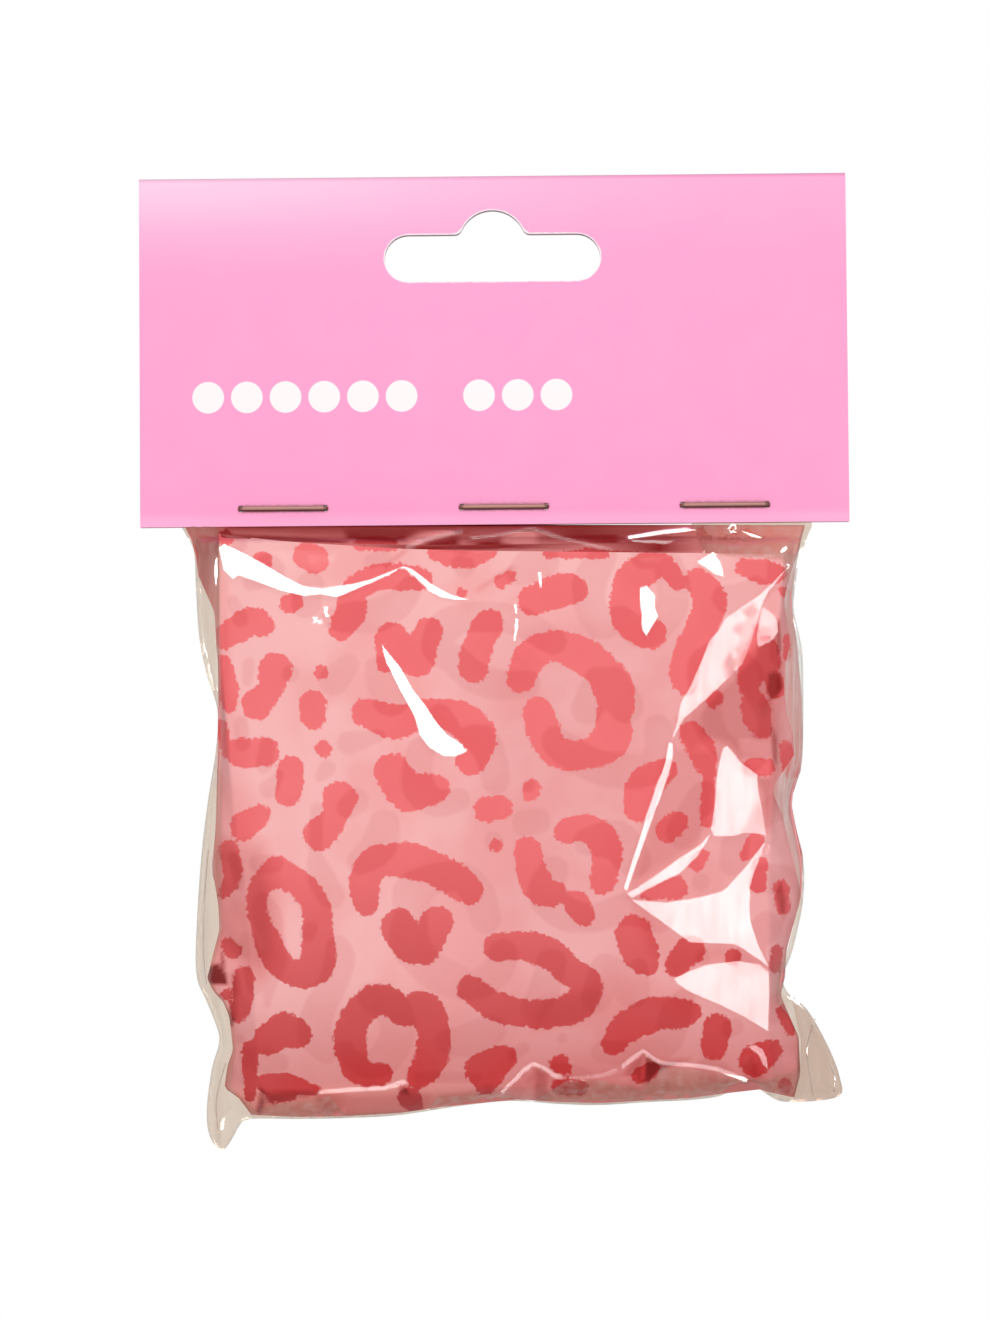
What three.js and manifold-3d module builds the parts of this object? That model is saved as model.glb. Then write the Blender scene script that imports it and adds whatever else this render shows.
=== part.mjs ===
// A shower cap in its shop packet: a folded printed cap in a clear film bag, under a stapled header card.
// Millimetres, +Z up, front towards -Y. The origin is the top of the hang slot's arch, where a peg bears,
// at the middle of the card's thickness.
import * as THREE from "three";
import { mergeVertices } from "three/addons/utils/BufferGeometryUtils.js";
import Module from "manifold-3d";

const wasm = await Module();
wasm.setup();

// Header card, one strip folded over the mouth of the bag
const CARD_WIDTH = 105;
const CARD_HEIGHT = 52;
const CARD_THICKNESS = 0.35;
const CARD_CLEARANCE = 0.12;

// Hang slot, round at both ends, with an arch over its middle for a single peg
const SLOT_WIDTH = 32;
const SLOT_HEIGHT = 7;
const ARCH_RADIUS = 5;
const ARCH_RISE = 3.6;
const ARCH_FILLET = 0.9;
const SLOT_BELOW_FOLD = 5.2;

// Staples, flat wire, clinched inwards behind the card
const STAPLE_CROWN = 13;
const STAPLE_LEG = 6;
const WIRE_WIDTH = 0.95;
const WIRE_THICKNESS = 0.5;
const STAPLE_FROM_SIDE = 19.8;
const STAPLE_ROW_SHIFT = 1.4;
const STAPLE_ABOVE_EDGE = 2.6;
const STAPLE_CLEARANCE = 0.1;
const STAPLE_BEND = 0.4;

// Bag film. The real film is 0.05 thick and is drawn thicker here, so that it is a solid
const FILM = 0.3;
const PLY_GAP = 0.3;
const MOUTH_WIDTH = 95;
const MOUTH_IN_CARD = 22;
const NECK = 1.6;
const NECK_GAP = 0.3;
const SHOULDER = 2.6;
const SHOULDER_STEPS = 5;
const SEAL_GAP = 0.3;
const BOTTOM_CLIMB = 2.4;

// Folded cap: three leaves of many plies each, with the elastic hem between the middle and the back leaf
const CAP_WIDTH = 77.6;
const CAP_HEIGHT = 80.2;
const CAP_SHIFT = 2;
const CAP_CLEARANCE = 0.4;
const LEAF = 2.6;
const LEAF_GAP = 0.4;
const FREE_EDGE_STEP = 1;

// Elastic hem, a loop lying flat between two leaves
const ELASTIC_WIDTH = 5;
const ELASTIC_THICKNESS = 0.6;
const HEM_WALL = 0.4;
const HEM_LIP = 1;
const HEM_SEAT = 0.3;
const HEM_INSET = 5;
const HEM_CORNER = 20;

const ARC_STEPS = 8;

// Outer edge of each side weld: how far down the bag, as a share of its height, and how far past its rim.
// The edge is pulled in where the film is tight round the cap and stands out where it is slack.
const LEFT_EDGE = [
  [0, 5.3],
  [0.03, 4.1],
  [0.11, 3.5],
  [0.21, 2.6],
  [0.29, 0.9],
  [0.39, 1],
  [0.5, 2.3],
  [0.73, 3.8],
  [0.79, 2.4],
  [0.84, 0.9],
  [0.88, 0.9],
  [0.97, 2.1],
];
const RIGHT_EDGE = [
  [0, 3.1],
  [0.03, 1.9],
  [0.11, 1],
  [0.2, 2.2],
  [0.33, 2.2],
  [0.42, 0.9],
  [0.5, 1.2],
  [0.57, 2.5],
  [0.66, 1.2],
  [0.76, 0.9],
  [0.83, 3],
  [0.9, 6.3],
  [0.95, 7.9],
];
// Corners of the bag that stand out past its bottom fold and its right side
const TAIL_DROP = 4.8;
const TAIL_WIDTH = 3.6;
const FLAP_ROUND = 0.8;
const FLAP_SHARE = 0.975;

// Heights and depths that follow from the sizes above
const cardTop = SLOT_BELOW_FOLD;
const cardBottom = cardTop - CARD_HEIGHT;
const mouthThickness = 2 * FILM;
const cardInside = mouthThickness / 2 + CARD_CLEARANCE;
const cardOutside = cardInside + CARD_THICKNESS;
const stapleHeight = cardBottom + STAPLE_ABOVE_EDGE;
const staplePitch = CARD_WIDTH / 2 - STAPLE_FROM_SIDE;

const hemThickness = ELASTIC_THICKNESS + 2 * (HEM_SEAT + HEM_WALL);
const hemGap = hemThickness + 2 * HEM_SEAT;
const capDepth = 3 * LEAF + LEAF_GAP + hemGap;
const filmStand = CAP_CLEARANCE + FILM + SHOULDER;
const rimTop = cardBottom - NECK;
const capTop = rimTop - filmStand;
const capBottom = capTop - CAP_HEIGHT;
const rimBottom = capBottom - filmStand;
const capLeft = CAP_SHIFT - CAP_WIDTH / 2;
const capRight = CAP_SHIFT + CAP_WIDTH / 2;
const rimLeft = capLeft - filmStand;
const rimRight = capRight + filmStand;

// Materials
const finish = (color, roughness, metalness = 0) =>
  new THREE.MeshStandardMaterial({ color, roughness, metalness });
const clearFilm = () =>
  new THREE.MeshStandardMaterial({ color: 0xf2eee8, roughness: 0.12, transparent: true, opacity: 0.25 });
const cardStock = finish(0xffa9d4, 0.55);
const stapleWire = finish(0x9a8a82, 0.4, 1);
const capFilm = finish(0xf0a9a9, 0.45);
const elasticWhite = finish(0xf3efe9, 0.85);

// Basis changes from a flat shape to the part's frame
const ALONG_X = new THREE.Matrix4().makeBasis(
  new THREE.Vector3(0, 1, 0),
  new THREE.Vector3(0, 0, 1),
  new THREE.Vector3(1, 0, 0),
);
const ALONG_Y = new THREE.Matrix4().makeBasis(
  new THREE.Vector3(1, 0, 0),
  new THREE.Vector3(0, 0, 1),
  new THREE.Vector3(0, -1, 0),
);

// A shape drawn on Y and Z, drawn out to both sides of X = middle
function acrossX(shape, width, middle = 0) {
  const geometry = new THREE.ExtrudeGeometry(shape, {
    depth: width,
    bevelEnabled: false,
    curveSegments: ARC_STEPS,
  });
  geometry.translate(0, 0, middle - width / 2);
  return geometry.applyMatrix4(ALONG_X);
}

// A shape drawn on X and Z, drawn out to both sides of Y = middle
function acrossY(shape, thickness, middle = 0, steps = ARC_STEPS) {
  const geometry = new THREE.ExtrudeGeometry(shape, {
    depth: thickness,
    bevelEnabled: false,
    curveSegments: steps,
  });
  geometry.translate(0, 0, -thickness / 2 - middle);
  return geometry.applyMatrix4(ALONG_Y);
}

function solidOf(geometry) {
  const bare = geometry.clone();
  bare.deleteAttribute("normal");
  bare.deleteAttribute("uv");
  const merged = mergeVertices(bare, 1e-4);
  return new wasm.Manifold(
    new wasm.Mesh({
      numProp: 3,
      vertProperties: new Float32Array(merged.attributes.position.array),
      triVerts: new Uint32Array(merged.index.array),
    }),
  );
}

function cut(geometry, tools) {
  let solid = solidOf(geometry);
  for (const tool of tools) {
    solid = solid.subtract(solidOf(tool));
  }
  const mesh = solid.getMesh();
  const made = new THREE.BufferGeometry();
  made.setAttribute("position", new THREE.BufferAttribute(mesh.vertProperties, 3));
  made.setIndex(new THREE.BufferAttribute(mesh.triVerts, 1));
  return made;
}

// The pack isn't quite square: lower points lie higher the further right they are
function slant(geometry) {
  const points = geometry.attributes.position;
  for (let n = 0; n < points.count; n++) {
    const across = (points.getX(n) - rimLeft) / (rimRight - rimLeft);
    const down = (rimTop - points.getZ(n)) / (rimTop - rimBottom);
    points.setZ(n, points.getZ(n) + BOTTOM_CLIMB * across * down);
  }
  return geometry;
}

const packet = new THREE.Group();

function place(name, geometry, material) {
  const mesh = new THREE.Mesh(geometry, material);
  mesh.name = name;
  packet.add(mesh);
}

// Staples: one outline on X and Y, as thick along Z as the wire is wide
const staplePlaces = [
  ["staple_left", STAPLE_ROW_SHIFT - staplePitch],
  ["staple_centre", STAPLE_ROW_SHIFT],
  ["staple_right", STAPLE_ROW_SHIFT + staplePitch],
];
const crownBack = -cardOutside - STAPLE_CLEARANCE;
const crownFront = crownBack - WIRE_THICKNESS;
const clinchFront = cardOutside + STAPLE_CLEARANCE;
const clinchBack = clinchFront + WIRE_THICKNESS;
const legOuter = STAPLE_CROWN / 2;
const legInner = legOuter - WIRE_THICKNESS;
const clinchTip = legOuter - (STAPLE_LEG - (clinchBack - crownBack));

function stapleGeometry(x) {
  const wire = new THREE.Shape();
  wire.moveTo(-legOuter + STAPLE_BEND, crownFront);
  wire.lineTo(legOuter - STAPLE_BEND, crownFront);
  wire.quadraticCurveTo(legOuter, crownFront, legOuter, crownFront + STAPLE_BEND);
  wire.lineTo(legOuter, clinchBack - STAPLE_BEND);
  wire.quadraticCurveTo(legOuter, clinchBack, legOuter - STAPLE_BEND, clinchBack);
  wire.lineTo(clinchTip, clinchBack);
  wire.lineTo(clinchTip, clinchFront);
  wire.lineTo(legInner, clinchFront);
  wire.lineTo(legInner, crownBack);
  wire.lineTo(-legInner, crownBack);
  wire.lineTo(-legInner, clinchFront);
  wire.lineTo(-clinchTip, clinchFront);
  wire.lineTo(-clinchTip, clinchBack);
  wire.lineTo(-legOuter + STAPLE_BEND, clinchBack);
  wire.quadraticCurveTo(-legOuter, clinchBack, -legOuter, clinchBack - STAPLE_BEND);
  wire.lineTo(-legOuter, crownFront + STAPLE_BEND);
  wire.quadraticCurveTo(-legOuter, crownFront, -legOuter + STAPLE_BEND, crownFront);
  const geometry = new THREE.ExtrudeGeometry(wire, {
    depth: WIRE_WIDTH,
    bevelEnabled: false,
    curveSegments: 4,
  });
  return geometry.translate(x, 0, stapleHeight - WIRE_WIDTH / 2);
}

// Two holes for each staple's legs, through the card and the film between its flaps
function legHoles() {
  const across = WIRE_THICKNESS + 2 * STAPLE_CLEARANCE;
  const high = WIRE_WIDTH + 2 * STAPLE_CLEARANCE;
  const through = 4 * cardOutside;
  const legMiddle = (legOuter + legInner) / 2;
  return staplePlaces.flatMap(([, x]) =>
    [-legMiddle, legMiddle].map((leg) =>
      new THREE.BoxGeometry(across, through, high).translate(x + leg, 0, stapleHeight),
    ),
  );
}

// Header card: an upside-down U on Y and Z, with the slot and the staple holes cut through both flaps
function hangSlot() {
  const bodyTop = -ARCH_RISE;
  const bodyBottom = bodyTop - SLOT_HEIGHT;
  const endRadius = SLOT_HEIGHT / 2;
  const endCentre = SLOT_WIDTH / 2 - endRadius;
  const archCentre = -ARCH_RADIUS;
  const archFoot = Math.sqrt(ARCH_RADIUS ** 2 - (bodyTop - archCentre) ** 2);
  const filletTurn = ARCH_FILLET / ARCH_RADIUS;
  const footTurn = Math.asin((bodyTop - archCentre) / ARCH_RADIUS);
  const archStart = footTurn + filletTurn;
  const slot = new THREE.Shape();
  slot.moveTo(-endCentre, bodyBottom);
  slot.lineTo(endCentre, bodyBottom);
  slot.absarc(endCentre, bodyBottom + endRadius, endRadius, -Math.PI / 2, Math.PI / 2, false);
  slot.lineTo(archFoot + ARCH_FILLET, bodyTop);
  slot.quadraticCurveTo(
    archFoot,
    bodyTop,
    ARCH_RADIUS * Math.cos(archStart),
    archCentre + ARCH_RADIUS * Math.sin(archStart),
  );
  slot.absarc(0, archCentre, ARCH_RADIUS, archStart, Math.PI - archStart, false);
  slot.quadraticCurveTo(-archFoot, bodyTop, -archFoot - ARCH_FILLET, bodyTop);
  slot.lineTo(-endCentre, bodyTop);
  slot.absarc(-endCentre, bodyBottom + endRadius, endRadius, Math.PI / 2, (3 * Math.PI) / 2, false);
  return acrossY(slot, 4 * cardOutside);
}

function headerCard() {
  const foldCentre = cardTop - cardOutside;
  const section = new THREE.Shape();
  section.moveTo(cardInside, cardBottom);
  section.lineTo(cardOutside, cardBottom);
  section.lineTo(cardOutside, foldCentre);
  section.absarc(0, foldCentre, cardOutside, 0, Math.PI, false);
  section.lineTo(-cardOutside, cardBottom);
  section.lineTo(-cardInside, cardBottom);
  section.lineTo(-cardInside, foldCentre);
  section.absarc(0, foldCentre, cardInside, Math.PI, 0, true);
  section.lineTo(cardInside, cardBottom);
  return cut(acrossX(section, CARD_WIDTH), [hangSlot(), ...legHoles()]);
}

// The mouth of the bag: both plies pressed flat between the card's flaps, and the film neck below them
function bagMouth() {
  const top = cardBottom + MOUTH_IN_CARD;
  const bottom = rimTop + NECK_GAP;
  const plies = new THREE.BoxGeometry(MOUTH_WIDTH, mouthThickness, top - bottom);
  plies.translate(0, 0, (top + bottom) / 2);
  return cut(plies, legHoles());
}

// Stations across the bag from rim to rim: each has its place and how far it has risen over the shoulder
function stations(low, high) {
  const climb = Array.from({ length: SHOULDER_STEPS + 1 }, (_, step) => {
    const turn = (step / SHOULDER_STEPS) * (Math.PI / 2);
    return { run: SHOULDER * (1 - Math.cos(turn)), rise: Math.sin(turn) };
  });
  const rising = climb.map(({ run, rise }) => ({ at: low + run, rise }));
  const falling = climb.map(({ run, rise }) => ({ at: high - run, rise }));
  return [...rising, ...falling.reverse()];
}

// One skin of a bag panel: a shallow tray whose rim lies beside the plane between the two plies
function panelSkin(side, inset, depth) {
  const rim = PLY_GAP / 2;
  const columns = stations(rimLeft + inset, rimRight - inset);
  const rows = stations(rimBottom + inset, rimTop - inset);
  return rows.map((row) =>
    columns.map((column) => {
      const rise = Math.min(row.rise, column.rise);
      return new THREE.Vector3(column.at, side * (rim + (depth - rim) * rise), row.at);
    }),
  );
}

// A film panel, front (side -1) or back (side +1): the outer skin, the inner skin and the rim between them
function bagPanel(side) {
  const insideDepth = capDepth / 2 + CAP_CLEARANCE;
  const outer = panelSkin(side, 0, insideDepth + FILM);
  const inner = panelSkin(side, FILM, insideDepth);
  const last = outer.length - 1;
  const points = [];
  const quad = (a, b, c, d) => {
    const ring = side < 0 ? [a, b, c, a, c, d] : [a, c, b, a, d, c];
    points.push(...ring);
  };
  for (let j = 0; j < last; j++) {
    for (let i = 0; i < last; i++) {
      quad(outer[j][i], outer[j][i + 1], outer[j + 1][i + 1], outer[j + 1][i]);
      quad(inner[j][i], inner[j + 1][i], inner[j + 1][i + 1], inner[j][i + 1]);
    }
  }
  for (let n = 0; n < last; n++) {
    const m = n + 1;
    quad(outer[0][m], outer[0][n], inner[0][n], inner[0][m]);
    quad(outer[last][n], outer[last][m], inner[last][m], inner[last][n]);
    quad(outer[n][0], outer[m][0], inner[m][0], inner[n][0]);
    quad(outer[m][last], outer[n][last], inner[n][last], inner[m][last]);
  }
  return new THREE.BufferGeometry().setFromPoints(points);
}

// Side welds: both plies fused into a flat strip with a wavy outer edge
function edgePoints(edge, rim, outward) {
  return edge.map(([share, reach]) => {
    const z = rimTop - share * (rimTop - rimBottom);
    return new THREE.Vector2(rim + outward * reach, z);
  });
}

function leftSeal() {
  const inside = rimLeft - SEAL_GAP;
  const under = rimBottom - SEAL_GAP;
  const [top, ...down] = edgePoints(LEFT_EDGE, rimLeft, -1);
  const tailTip = new THREE.Vector2(rimLeft, rimBottom - TAIL_DROP);
  const tailRoot = new THREE.Vector2(rimLeft + TAIL_WIDTH, under);
  const strip = new THREE.Shape();
  strip.moveTo(inside, rimTop);
  strip.lineTo(top.x, top.y);
  strip.splineThru([...down, tailTip, tailRoot]);
  strip.lineTo(inside, under);
  strip.lineTo(inside, rimTop);
  return acrossY(strip, mouthThickness, 0, 3);
}

function rightSeal() {
  const inside = rimRight + SEAL_GAP;
  const [top, ...down] = edgePoints(RIGHT_EDGE, rimRight, 1);
  const tip = down[down.length - 1];
  const flapBottom = rimTop - FLAP_SHARE * (rimTop - rimBottom);
  const strip = new THREE.Shape();
  strip.moveTo(inside, rimTop);
  strip.lineTo(top.x, top.y);
  strip.splineThru(down);
  strip.quadraticCurveTo(tip.x, flapBottom, tip.x - FLAP_ROUND, flapBottom);
  strip.lineTo(inside, flapBottom);
  strip.lineTo(inside, rimTop);
  return acrossY(strip, mouthThickness, 0, 3);
}

// Cap: an S of three leaves on Y and Z, folded at the top in front and at the bottom behind
const frontLeaf = -capDepth / 2;
const middleLeaf = frontLeaf + LEAF + LEAF_GAP;
const backLeaf = middleLeaf + LEAF + hemGap;
const bottomFoldOutside = (backLeaf + LEAF - middleLeaf) / 2;

function capPanel() {
  const topOutside = (middleLeaf + LEAF - frontLeaf) / 2;
  const topCentre = frontLeaf + topOutside;
  const topTurn = capTop - topOutside;
  const bottomCentre = middleLeaf + bottomFoldOutside;
  const bottomTurn = capBottom + bottomFoldOutside;
  const section = new THREE.Shape();
  section.moveTo(frontLeaf, capBottom + FREE_EDGE_STEP);
  section.lineTo(frontLeaf + LEAF, capBottom + FREE_EDGE_STEP);
  section.lineTo(frontLeaf + LEAF, topTurn);
  section.absarc(topCentre, topTurn, LEAF_GAP / 2, Math.PI, 0, true);
  section.lineTo(middleLeaf, bottomTurn);
  section.absarc(bottomCentre, bottomTurn, bottomFoldOutside, Math.PI, 2 * Math.PI, false);
  section.lineTo(backLeaf + LEAF, capTop - FREE_EDGE_STEP);
  section.lineTo(backLeaf, capTop - FREE_EDGE_STEP);
  section.lineTo(backLeaf, bottomTurn);
  section.absarc(bottomCentre, bottomTurn, hemGap / 2, 2 * Math.PI, Math.PI, true);
  section.lineTo(middleLeaf + LEAF, topTurn);
  section.absarc(topCentre, topTurn, topOutside, 0, Math.PI, false);
  section.lineTo(frontLeaf, capBottom + FREE_EDGE_STEP);
  return acrossX(section, CAP_WIDTH, CAP_SHIFT);
}

// A loop with round corners on X and Z, inset from the hem's outline, as a closed path
const hemTop = capTop - bottomFoldOutside - HEM_INSET;
const hemBottom = capBottom + bottomFoldOutside + HEM_INSET;

function hemOutline(inset, Kind) {
  const left = capLeft + HEM_INSET + inset;
  const right = capRight - HEM_INSET - inset;
  const bottom = hemBottom + inset;
  const top = hemTop - inset;
  const corner = HEM_CORNER - inset;
  const loop = new Kind();
  loop.moveTo(left + corner, bottom);
  loop.absarc(right - corner, bottom + corner, corner, -Math.PI / 2, 0, false);
  loop.absarc(right - corner, top - corner, corner, 0, Math.PI / 2, false);
  loop.absarc(left + corner, top - corner, corner, Math.PI / 2, Math.PI, false);
  loop.absarc(left + corner, bottom + corner, corner, Math.PI, (3 * Math.PI) / 2, false);
  return loop;
}

const hemMiddle = (middleLeaf + LEAF + backLeaf) / 2;

function hemRing(outerInset, innerInset, thickness) {
  const ring = hemOutline(outerInset, THREE.Shape);
  ring.holes.push(hemOutline(innerInset, THREE.Path));
  return acrossY(ring, thickness, hemMiddle);
}

// The hem's film goes round the elastic and is open on the loop's inner side
const elasticOuter = HEM_WALL + HEM_SEAT;
const elasticInner = elasticOuter + ELASTIC_WIDTH;
const hemInner = elasticInner + HEM_LIP;
const channel = hemRing(HEM_WALL, hemInner + HEM_LIP, ELASTIC_THICKNESS + 2 * HEM_SEAT);
const hem = cut(hemRing(0, hemInner, hemThickness), [channel]);
const elastic = hemRing(elasticOuter, elasticInner, ELASTIC_THICKNESS);

place("header_card", headerCard(), cardStock);
for (const [name, x] of staplePlaces) {
  place(name, stapleGeometry(x), stapleWire);
}
place("bag_mouth", bagMouth(), clearFilm());
place("bag_front_panel", slant(bagPanel(-1)), clearFilm());
place("bag_back_panel", slant(bagPanel(1)), clearFilm());
place("bag_left_seal", leftSeal(), clearFilm());
place("bag_right_seal", rightSeal(), clearFilm());
place("cap_panel", slant(capPanel()), capFilm);
place("cap_hem", slant(hem), capFilm);
place("elastic_band", slant(elastic), elasticWhite);

export default packet;
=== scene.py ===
"""Looks of a shower cap in its shop packet: printed card, staples, clear film bag and folded film cap."""
import math

import bmesh
import bpy
import numpy as np
from mathutils import Matrix, Vector
from mathutils.geometry import delaunay_2d_cdt


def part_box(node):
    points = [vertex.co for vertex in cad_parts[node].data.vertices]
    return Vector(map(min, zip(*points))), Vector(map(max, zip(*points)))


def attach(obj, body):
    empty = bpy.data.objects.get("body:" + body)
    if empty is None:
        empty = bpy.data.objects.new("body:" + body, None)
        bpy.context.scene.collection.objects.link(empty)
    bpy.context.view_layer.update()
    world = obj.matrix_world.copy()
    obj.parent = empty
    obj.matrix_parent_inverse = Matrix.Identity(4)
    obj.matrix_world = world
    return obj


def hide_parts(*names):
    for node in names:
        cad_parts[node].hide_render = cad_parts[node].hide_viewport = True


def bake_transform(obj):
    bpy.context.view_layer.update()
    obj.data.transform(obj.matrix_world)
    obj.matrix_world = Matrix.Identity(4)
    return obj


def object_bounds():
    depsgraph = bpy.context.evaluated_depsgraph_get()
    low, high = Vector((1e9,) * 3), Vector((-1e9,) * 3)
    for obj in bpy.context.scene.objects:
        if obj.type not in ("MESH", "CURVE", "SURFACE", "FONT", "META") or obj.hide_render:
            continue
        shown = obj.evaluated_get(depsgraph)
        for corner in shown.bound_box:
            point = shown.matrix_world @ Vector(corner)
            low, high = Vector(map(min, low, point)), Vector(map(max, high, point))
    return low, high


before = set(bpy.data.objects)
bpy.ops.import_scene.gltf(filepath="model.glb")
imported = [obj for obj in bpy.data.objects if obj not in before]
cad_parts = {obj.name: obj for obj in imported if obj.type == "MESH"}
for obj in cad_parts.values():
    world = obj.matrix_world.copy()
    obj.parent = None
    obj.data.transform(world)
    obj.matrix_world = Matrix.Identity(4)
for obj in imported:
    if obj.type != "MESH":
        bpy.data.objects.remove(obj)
cad_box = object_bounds()

# Lengths are in millimetres until a mesh is made. Places on the packet's front are given in squares:
# the photograph's frame is FRAME_WIDTH by FRAME_HEIGHT squares, x to the right and y down.
MM = 0.001
FRAME_WIDTH = 990
FRAME_HEIGHT = 1320


def box_of(name):
    """The low and the high corner of a node's box in millimetres."""
    return [np.array(corner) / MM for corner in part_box(name)]


# Camera
FOCAL_SQUARES = 4026
SENSOR_HEIGHT = 24
CAMERA_AT = np.array([5.4, -595.1, -94.2])
CAMERA_YAW = 0.53
CAMERA_PITCH = 2.63
CAMERA_ROLL = -0.46

# Light: one long strip in front above the camera, one behind, and an even fill from all round
STRIP_WIDTH = 520
STRIP_HEIGHT = 130
STRIP_AT = np.array([0, -500, 105])
STRIP_POWER = 2.2
BACK_STRIP_AT = np.array([30, 520, 70])
BACK_STRIP_POWER = 1.5
AIMED_AT = np.array([0, 0, -70])
FILL = 0.25
GLOSS_FILL = 0.8
AIMS = {
    "left": STRIP_AT + np.array([-120, 0, -25]),
    "top": STRIP_AT + np.array([0, 0, -25]),
    "right": STRIP_AT + np.array([120, 0, -25]),
    "back": BACK_STRIP_AT,
}
FLOOR_BELOW = 70
FLOOR_RADIUS = 300
FLOOR_CLEAR = 0.55
FLOOR_SIDES = 96

# Header card, as the frame has it
CARD_LOW, CARD_HIGH = box_of("header_card")
CARD_THICKNESS = 0.35
CARD_CORE = CARD_HIGH[1] - CARD_THICKNESS / 2
SLOT_WIDTH = 32
SLOT_HEIGHT = 7
ARCH_RADIUS = 5
ARCH_RISE = 3.6
ARCH_FILLET = 0.9
END_STEPS = 17
ARCH_STEPS = 15
FILLET_STEPS = 7
CARD_GRID = 2.2
FLAP_ROWS = 26
FOLD_ROWS = 15
HOLE_CLEARANCE = 0.4
CARD_BOW = 0.12
CARD_BOW_LENGTH = 31

# Staples, as the frame has them
STAPLES = ("staple_left", "staple_centre", "staple_right")
WIRE_WIDTH = 0.95
WIRE_THICKNESS = 0.5
WIRE_EDGE = 0.07
WIRE_BEND = 0.45
BEND_STEPS = 6
CROWN_BOW = 0.05
CROWN_STEPS = 7
CLINCH_LENGTH = 3.6
CLINCH_DIP = 0.25
CLINCH_SLOPE = 0.8
LEG_HOLE = (0.3, 0.45)
# The card's grid is finer round a staple: its rows, its reach past the legs, and its step along the crown
PRESS_ROWS = np.linspace(-1.8, 1.8, 13)
PRESS_SPARE = 1.6
PRESS_STEP = 0.5

# Bag: the edge of the film, going down the left side, along the bottom and up the right side
NECK_TOP = 522
NECK_LINE = 526
NECK_BEND = 537
NECK_ROOM = 0.13
NECK_OPENING = 0.2
BAG_LEFT = [
    (181, 526), (186, 535), (194, 552), (196, 590), (199, 635), (206, 672), (216, 703), (218, 724),
    (215, 757), (208, 800), (201, 860), (196, 940), (197, 978), (206, 1000), (217, 1028), (219, 1043),
    (212, 1068), (207, 1105), (208, 1130), (214, 1144), (223, 1150), (232, 1139), (240, 1125),
    (250, 1119),
]
BAG_BOTTOM = [
    (300, 1119), (350, 1118), (400, 1115), (460, 1106), (510, 1101), (560, 1104), (600, 1105),
    (650, 1102), (690, 1100), (720, 1096), (735, 1088), (746, 1086), (757, 1088), (768, 1095),
    (780, 1101), (800, 1102), (830, 1099), (842, 1093),
]
BAG_RIGHT = [
    (840, 1078), (835, 1062), (825, 1040), (811, 1015), (800, 1002), (788, 993), (783, 982), (784, 972),
    (791, 955), (798, 928), (803, 900), (804, 868), (798, 838), (792, 812), (793, 792), (800, 772),
    (803, 745), (803, 665), (800, 638), (794, 612), (794, 596), (798, 568), (806, 540), (812, 526),
]
MOUTH_TOP = box_of("bag_mouth")[1][2]
MOUTH_PLY = 0.2
MOUTH_STEPS = 3
FILM_DEPTH = 5.75
FILM_STAND = 0.25
SWELL = 0.6
FILM_STEP = 6
FILM_JITTER = 0.3
LINE_CLEARANCE = 0.45
EDGE_STEP = 5
ON_LINE = 0.3
GUARD = 1.6
GUARD_CLEARANCE = 0.7
WELD_EASE = 6
WELD_FULLNESS = 0.02
FACET_LIFT = -0.45
RIM_GLOSS = 0.15
MARGIN_GLOSS = 0.3
LEAF_GLOSS = 0.35
NECK_GLOSS = 0.06
DULL_REACH = 50
DULLEST = 0.1
FACET_SLACK = 0.01
FILM_SLACK = 0.05
MEMBRANE_SLACK = 0.03
MEMBRANE_ROUNDS = 500

# Cap: the front leaf's edges, and those of the plies in the middle of the pack
LEAF_TOP = [(220, 534), (280, 541), (324, 544), (406, 549), (500, 551), (640, 552.5), (783, 554)]
LEAF_BOTTOM = [(258, 1094), (400, 1089), (520, 1086), (640, 1083), (772, 1080)]
LEAF_LEFT = [(220, 534), (220, 640), (226, 715), (233, 800), (246, 900), (255, 1000), (258, 1094)]
LEAF_RIGHT = [(783, 554), (779, 640), (774, 760), (769, 860), (769, 1030), (772, 1080)]
LEAF_FOLD = [
    (220, 534), (220, 640), (221, 700), (221, 760), (215, 875), (220, 905), (221, 930), (214, 957),
    (209, 978), (216, 990), (226, 1002), (231, 1016), (233, 1034), (235, 1050), (230, 1066),
    (228, 1088), (242, 1098), (254, 1115),
]
PACK_LEFT = [
    (184, 524.5), (192, 540), (197, 558), (200, 576), (207, 593), (215, 612), (219, 660), (219, 760),
    (213, 875), (219, 905), (219, 930), (212, 957), (207, 978), (214, 990), (224, 1002), (229, 1016),
    (231, 1034), (233, 1050), (228, 1066), (226, 1088), (240, 1098), (252, 1115),
]
PACK_RIGHT = [
    (803, 525), (798, 545), (792, 570), (789, 600), (795, 650), (799, 690), (800, 735), (798, 770),
    (789, 800), (801, 862), (801, 895), (785, 955), (779, 995), (797, 1037), (797, 1076), (792, 1097),
]
PACK_TOP = [(184, 524.5), (803, 525)]
PACK_BOTTOM = [
    (252, 1115), (300, 1117), (350, 1116), (400, 1113), (460, 1104), (510, 1099), (560, 1102),
    (600, 1103), (690, 1098), (720, 1094), (746, 1084), (768, 1092), (792, 1097),
]

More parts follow.
